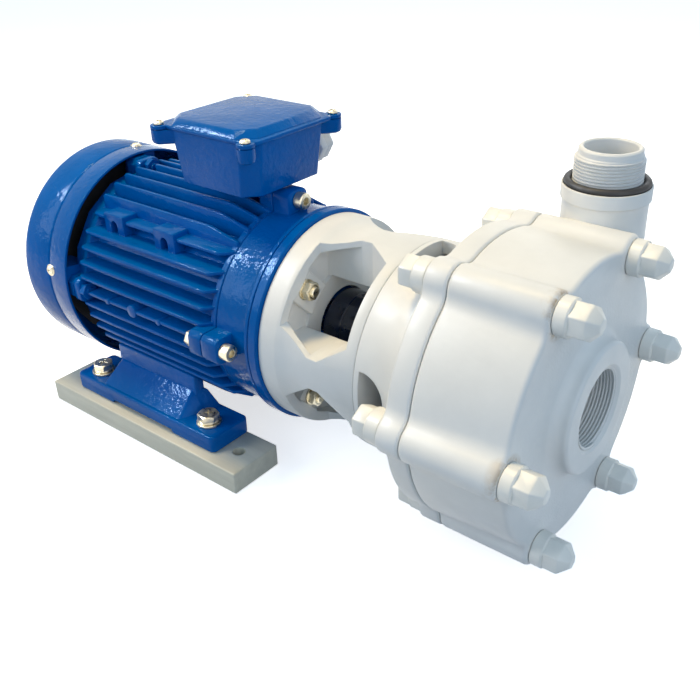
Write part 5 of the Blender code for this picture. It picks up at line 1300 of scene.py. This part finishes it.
class PUMP_OT_discharge(bpy.types.Operator):
    """Models the threaded discharge stub"""

    bl_idname = "pump.discharge"
    bl_label = "Discharge stub"

    def execute(self, context):
        sizes = context.scene.pump_sizes
        core = 0.0226
        stub = spun([
            (0.095, 0.018), (0.095, 0.0239), (0.1195, 0.0239), (0.1205, core), (0.1410, core),
            (0.1418, 0.0217), (0.1453, 0.0217), (0.1465, 0.0205), (0.1465, 0.0188), (0.1457, 0.018),
        ], 128, axis="Z", centre=DISCHARGE)
        pitch = sizes.thread_pitch
        thread = ridge(core - 0.0004, 0.0239, pitch, sizes.nipple_turns, 128)
        shifted(thread, DISCHARGE + Vector((0.0, 0.0, 0.1215)))
        joined(stub, thread)
        place(stub, "discharge_stub", "pump_body", ["discharge_nipple"], smooth=30.0)
        seal = spun([
            (along, radius) for radius, along in ring((0.0270, 0.1222), 0.0027, 20)
        ], 96, axis="Z", centre=DISCHARGE)
        place(seal, "discharge_seal", "rubber", ["discharge_o_ring"], smooth=40.0)
        return {"FINISHED"}


class PUMP_OT_cap_nuts(bpy.types.Operator):
    """Models the plastic cap nuts and the capped heads of the tie bolts"""

    bl_idname = "pump.cap_nuts"
    bl_label = "Cap nuts and tie bolts"

    def execute(self, context):
        across, seat = 0.021, 0.2203
        collar = spun([
            (seat, 0.0), (seat, 0.0118), (seat + 0.0007, 0.0125), (seat + 0.0080, 0.0125),
            (seat + 0.0090, 0.0115), (seat + 0.0090, 0.0),
        ], 48, loop=False)
        cap = bridged([
            (seat + 0.008, hexagon((0.0, 0.0), across, TURN / 12)),
            (seat + 0.0195, hexagon((0.0, 0.0), across, TURN / 12)),
            (seat + 0.0260, hexagon((0.0, 0.0), 0.0085, TURN / 12)),
        ])
        bevelled(cap, 0.0007, 3, 15.0)
        merged(collar, cap)
        nut = shifted(collar, (0.0, BOLT_CIRCLE, 0.0))
        place_round(nut, BOLT_ANGLES, "cap_nut_cover", "cap_nut", "cap_plastic", 25.0)
        bolt = self.bolt()
        place_round(bolt, BOLT_ANGLES, "tie_bolt_cover", "tie_bolt", "cap_plastic", 25.0)
        return {"FINISHED"}

    def bolt(self):
        seat = 0.1327
        collar = spun([
            (seat - 0.0110, 0.0), (seat - 0.0110, 0.0115), (seat - 0.0100, 0.0125),
            (seat - 0.0007, 0.0125), (seat, 0.0118), (seat, 0.005), (0.236, 0.005), (0.237, 0.004),
            (0.237, 0.0),
        ], 48, loop=False)
        cap = bridged([
            (seat - 0.022, hexagon((0.0, 0.0), 0.0185, TURN / 12)),
            (seat - 0.0205, hexagon((0.0, 0.0), 0.021, TURN / 12)),
            (seat - 0.0105, hexagon((0.0, 0.0), 0.021, TURN / 12)),
        ])
        bevelled(cap, 0.0007, 3, 15.0)
        merged(collar, cap)
        return shifted(collar, (0.0, BOLT_CIRCLE, 0.0))


CLASSES = (
    PumpSizes, PumpColours, PUMP_OT_finishes, PUMP_OT_base, PUMP_OT_housing, PUMP_OT_shields,
    PUMP_OT_terminal_box, PUMP_OT_shaft, PUMP_OT_lantern, PUMP_OT_rear_casing, PUMP_OT_front_casing,
    PUMP_OT_discharge, PUMP_OT_cap_nuts, PUMP_OT_fasteners, PUMP_OT_stage,
)


class PUMP_PT_pieces(bpy.types.Panel):
    """Lists the pieces of the pump and its sizes and colours"""

    bl_idname = "PUMP_PT_pieces"
    bl_label = "Chemical pump"
    bl_space_type = "VIEW_3D"
    bl_region_type = "UI"
    bl_category = "Pump"

    def draw(self, context):
        for made in CLASSES:
            if issubclass(made, bpy.types.Operator):
                self.layout.operator(made.bl_idname)
        for group in (context.scene.pump_sizes, context.scene.pump_colours):
            for name in group.bl_rna.properties.keys():
                if name not in ("rna_type", "name"):
                    self.layout.prop(group, name)


def register():
    for made in (*CLASSES, PUMP_PT_pieces):
        bpy.utils.register_class(made)
    bpy.types.Scene.pump_sizes = bpy.props.PointerProperty(type=PumpSizes)
    bpy.types.Scene.pump_colours = bpy.props.PointerProperty(type=PumpColours)


def unregister():
    del bpy.types.Scene.pump_colours
    del bpy.types.Scene.pump_sizes
    for made in reversed((*CLASSES, PUMP_PT_pieces)):
        bpy.utils.unregister_class(made)


def main():
    register()
    for made in CLASSES:
        if issubclass(made, bpy.types.Operator):
            group, name = made.bl_idname.split(".")
            getattr(getattr(bpy.ops, group), name)()


if __name__ == "__main__":
    main()
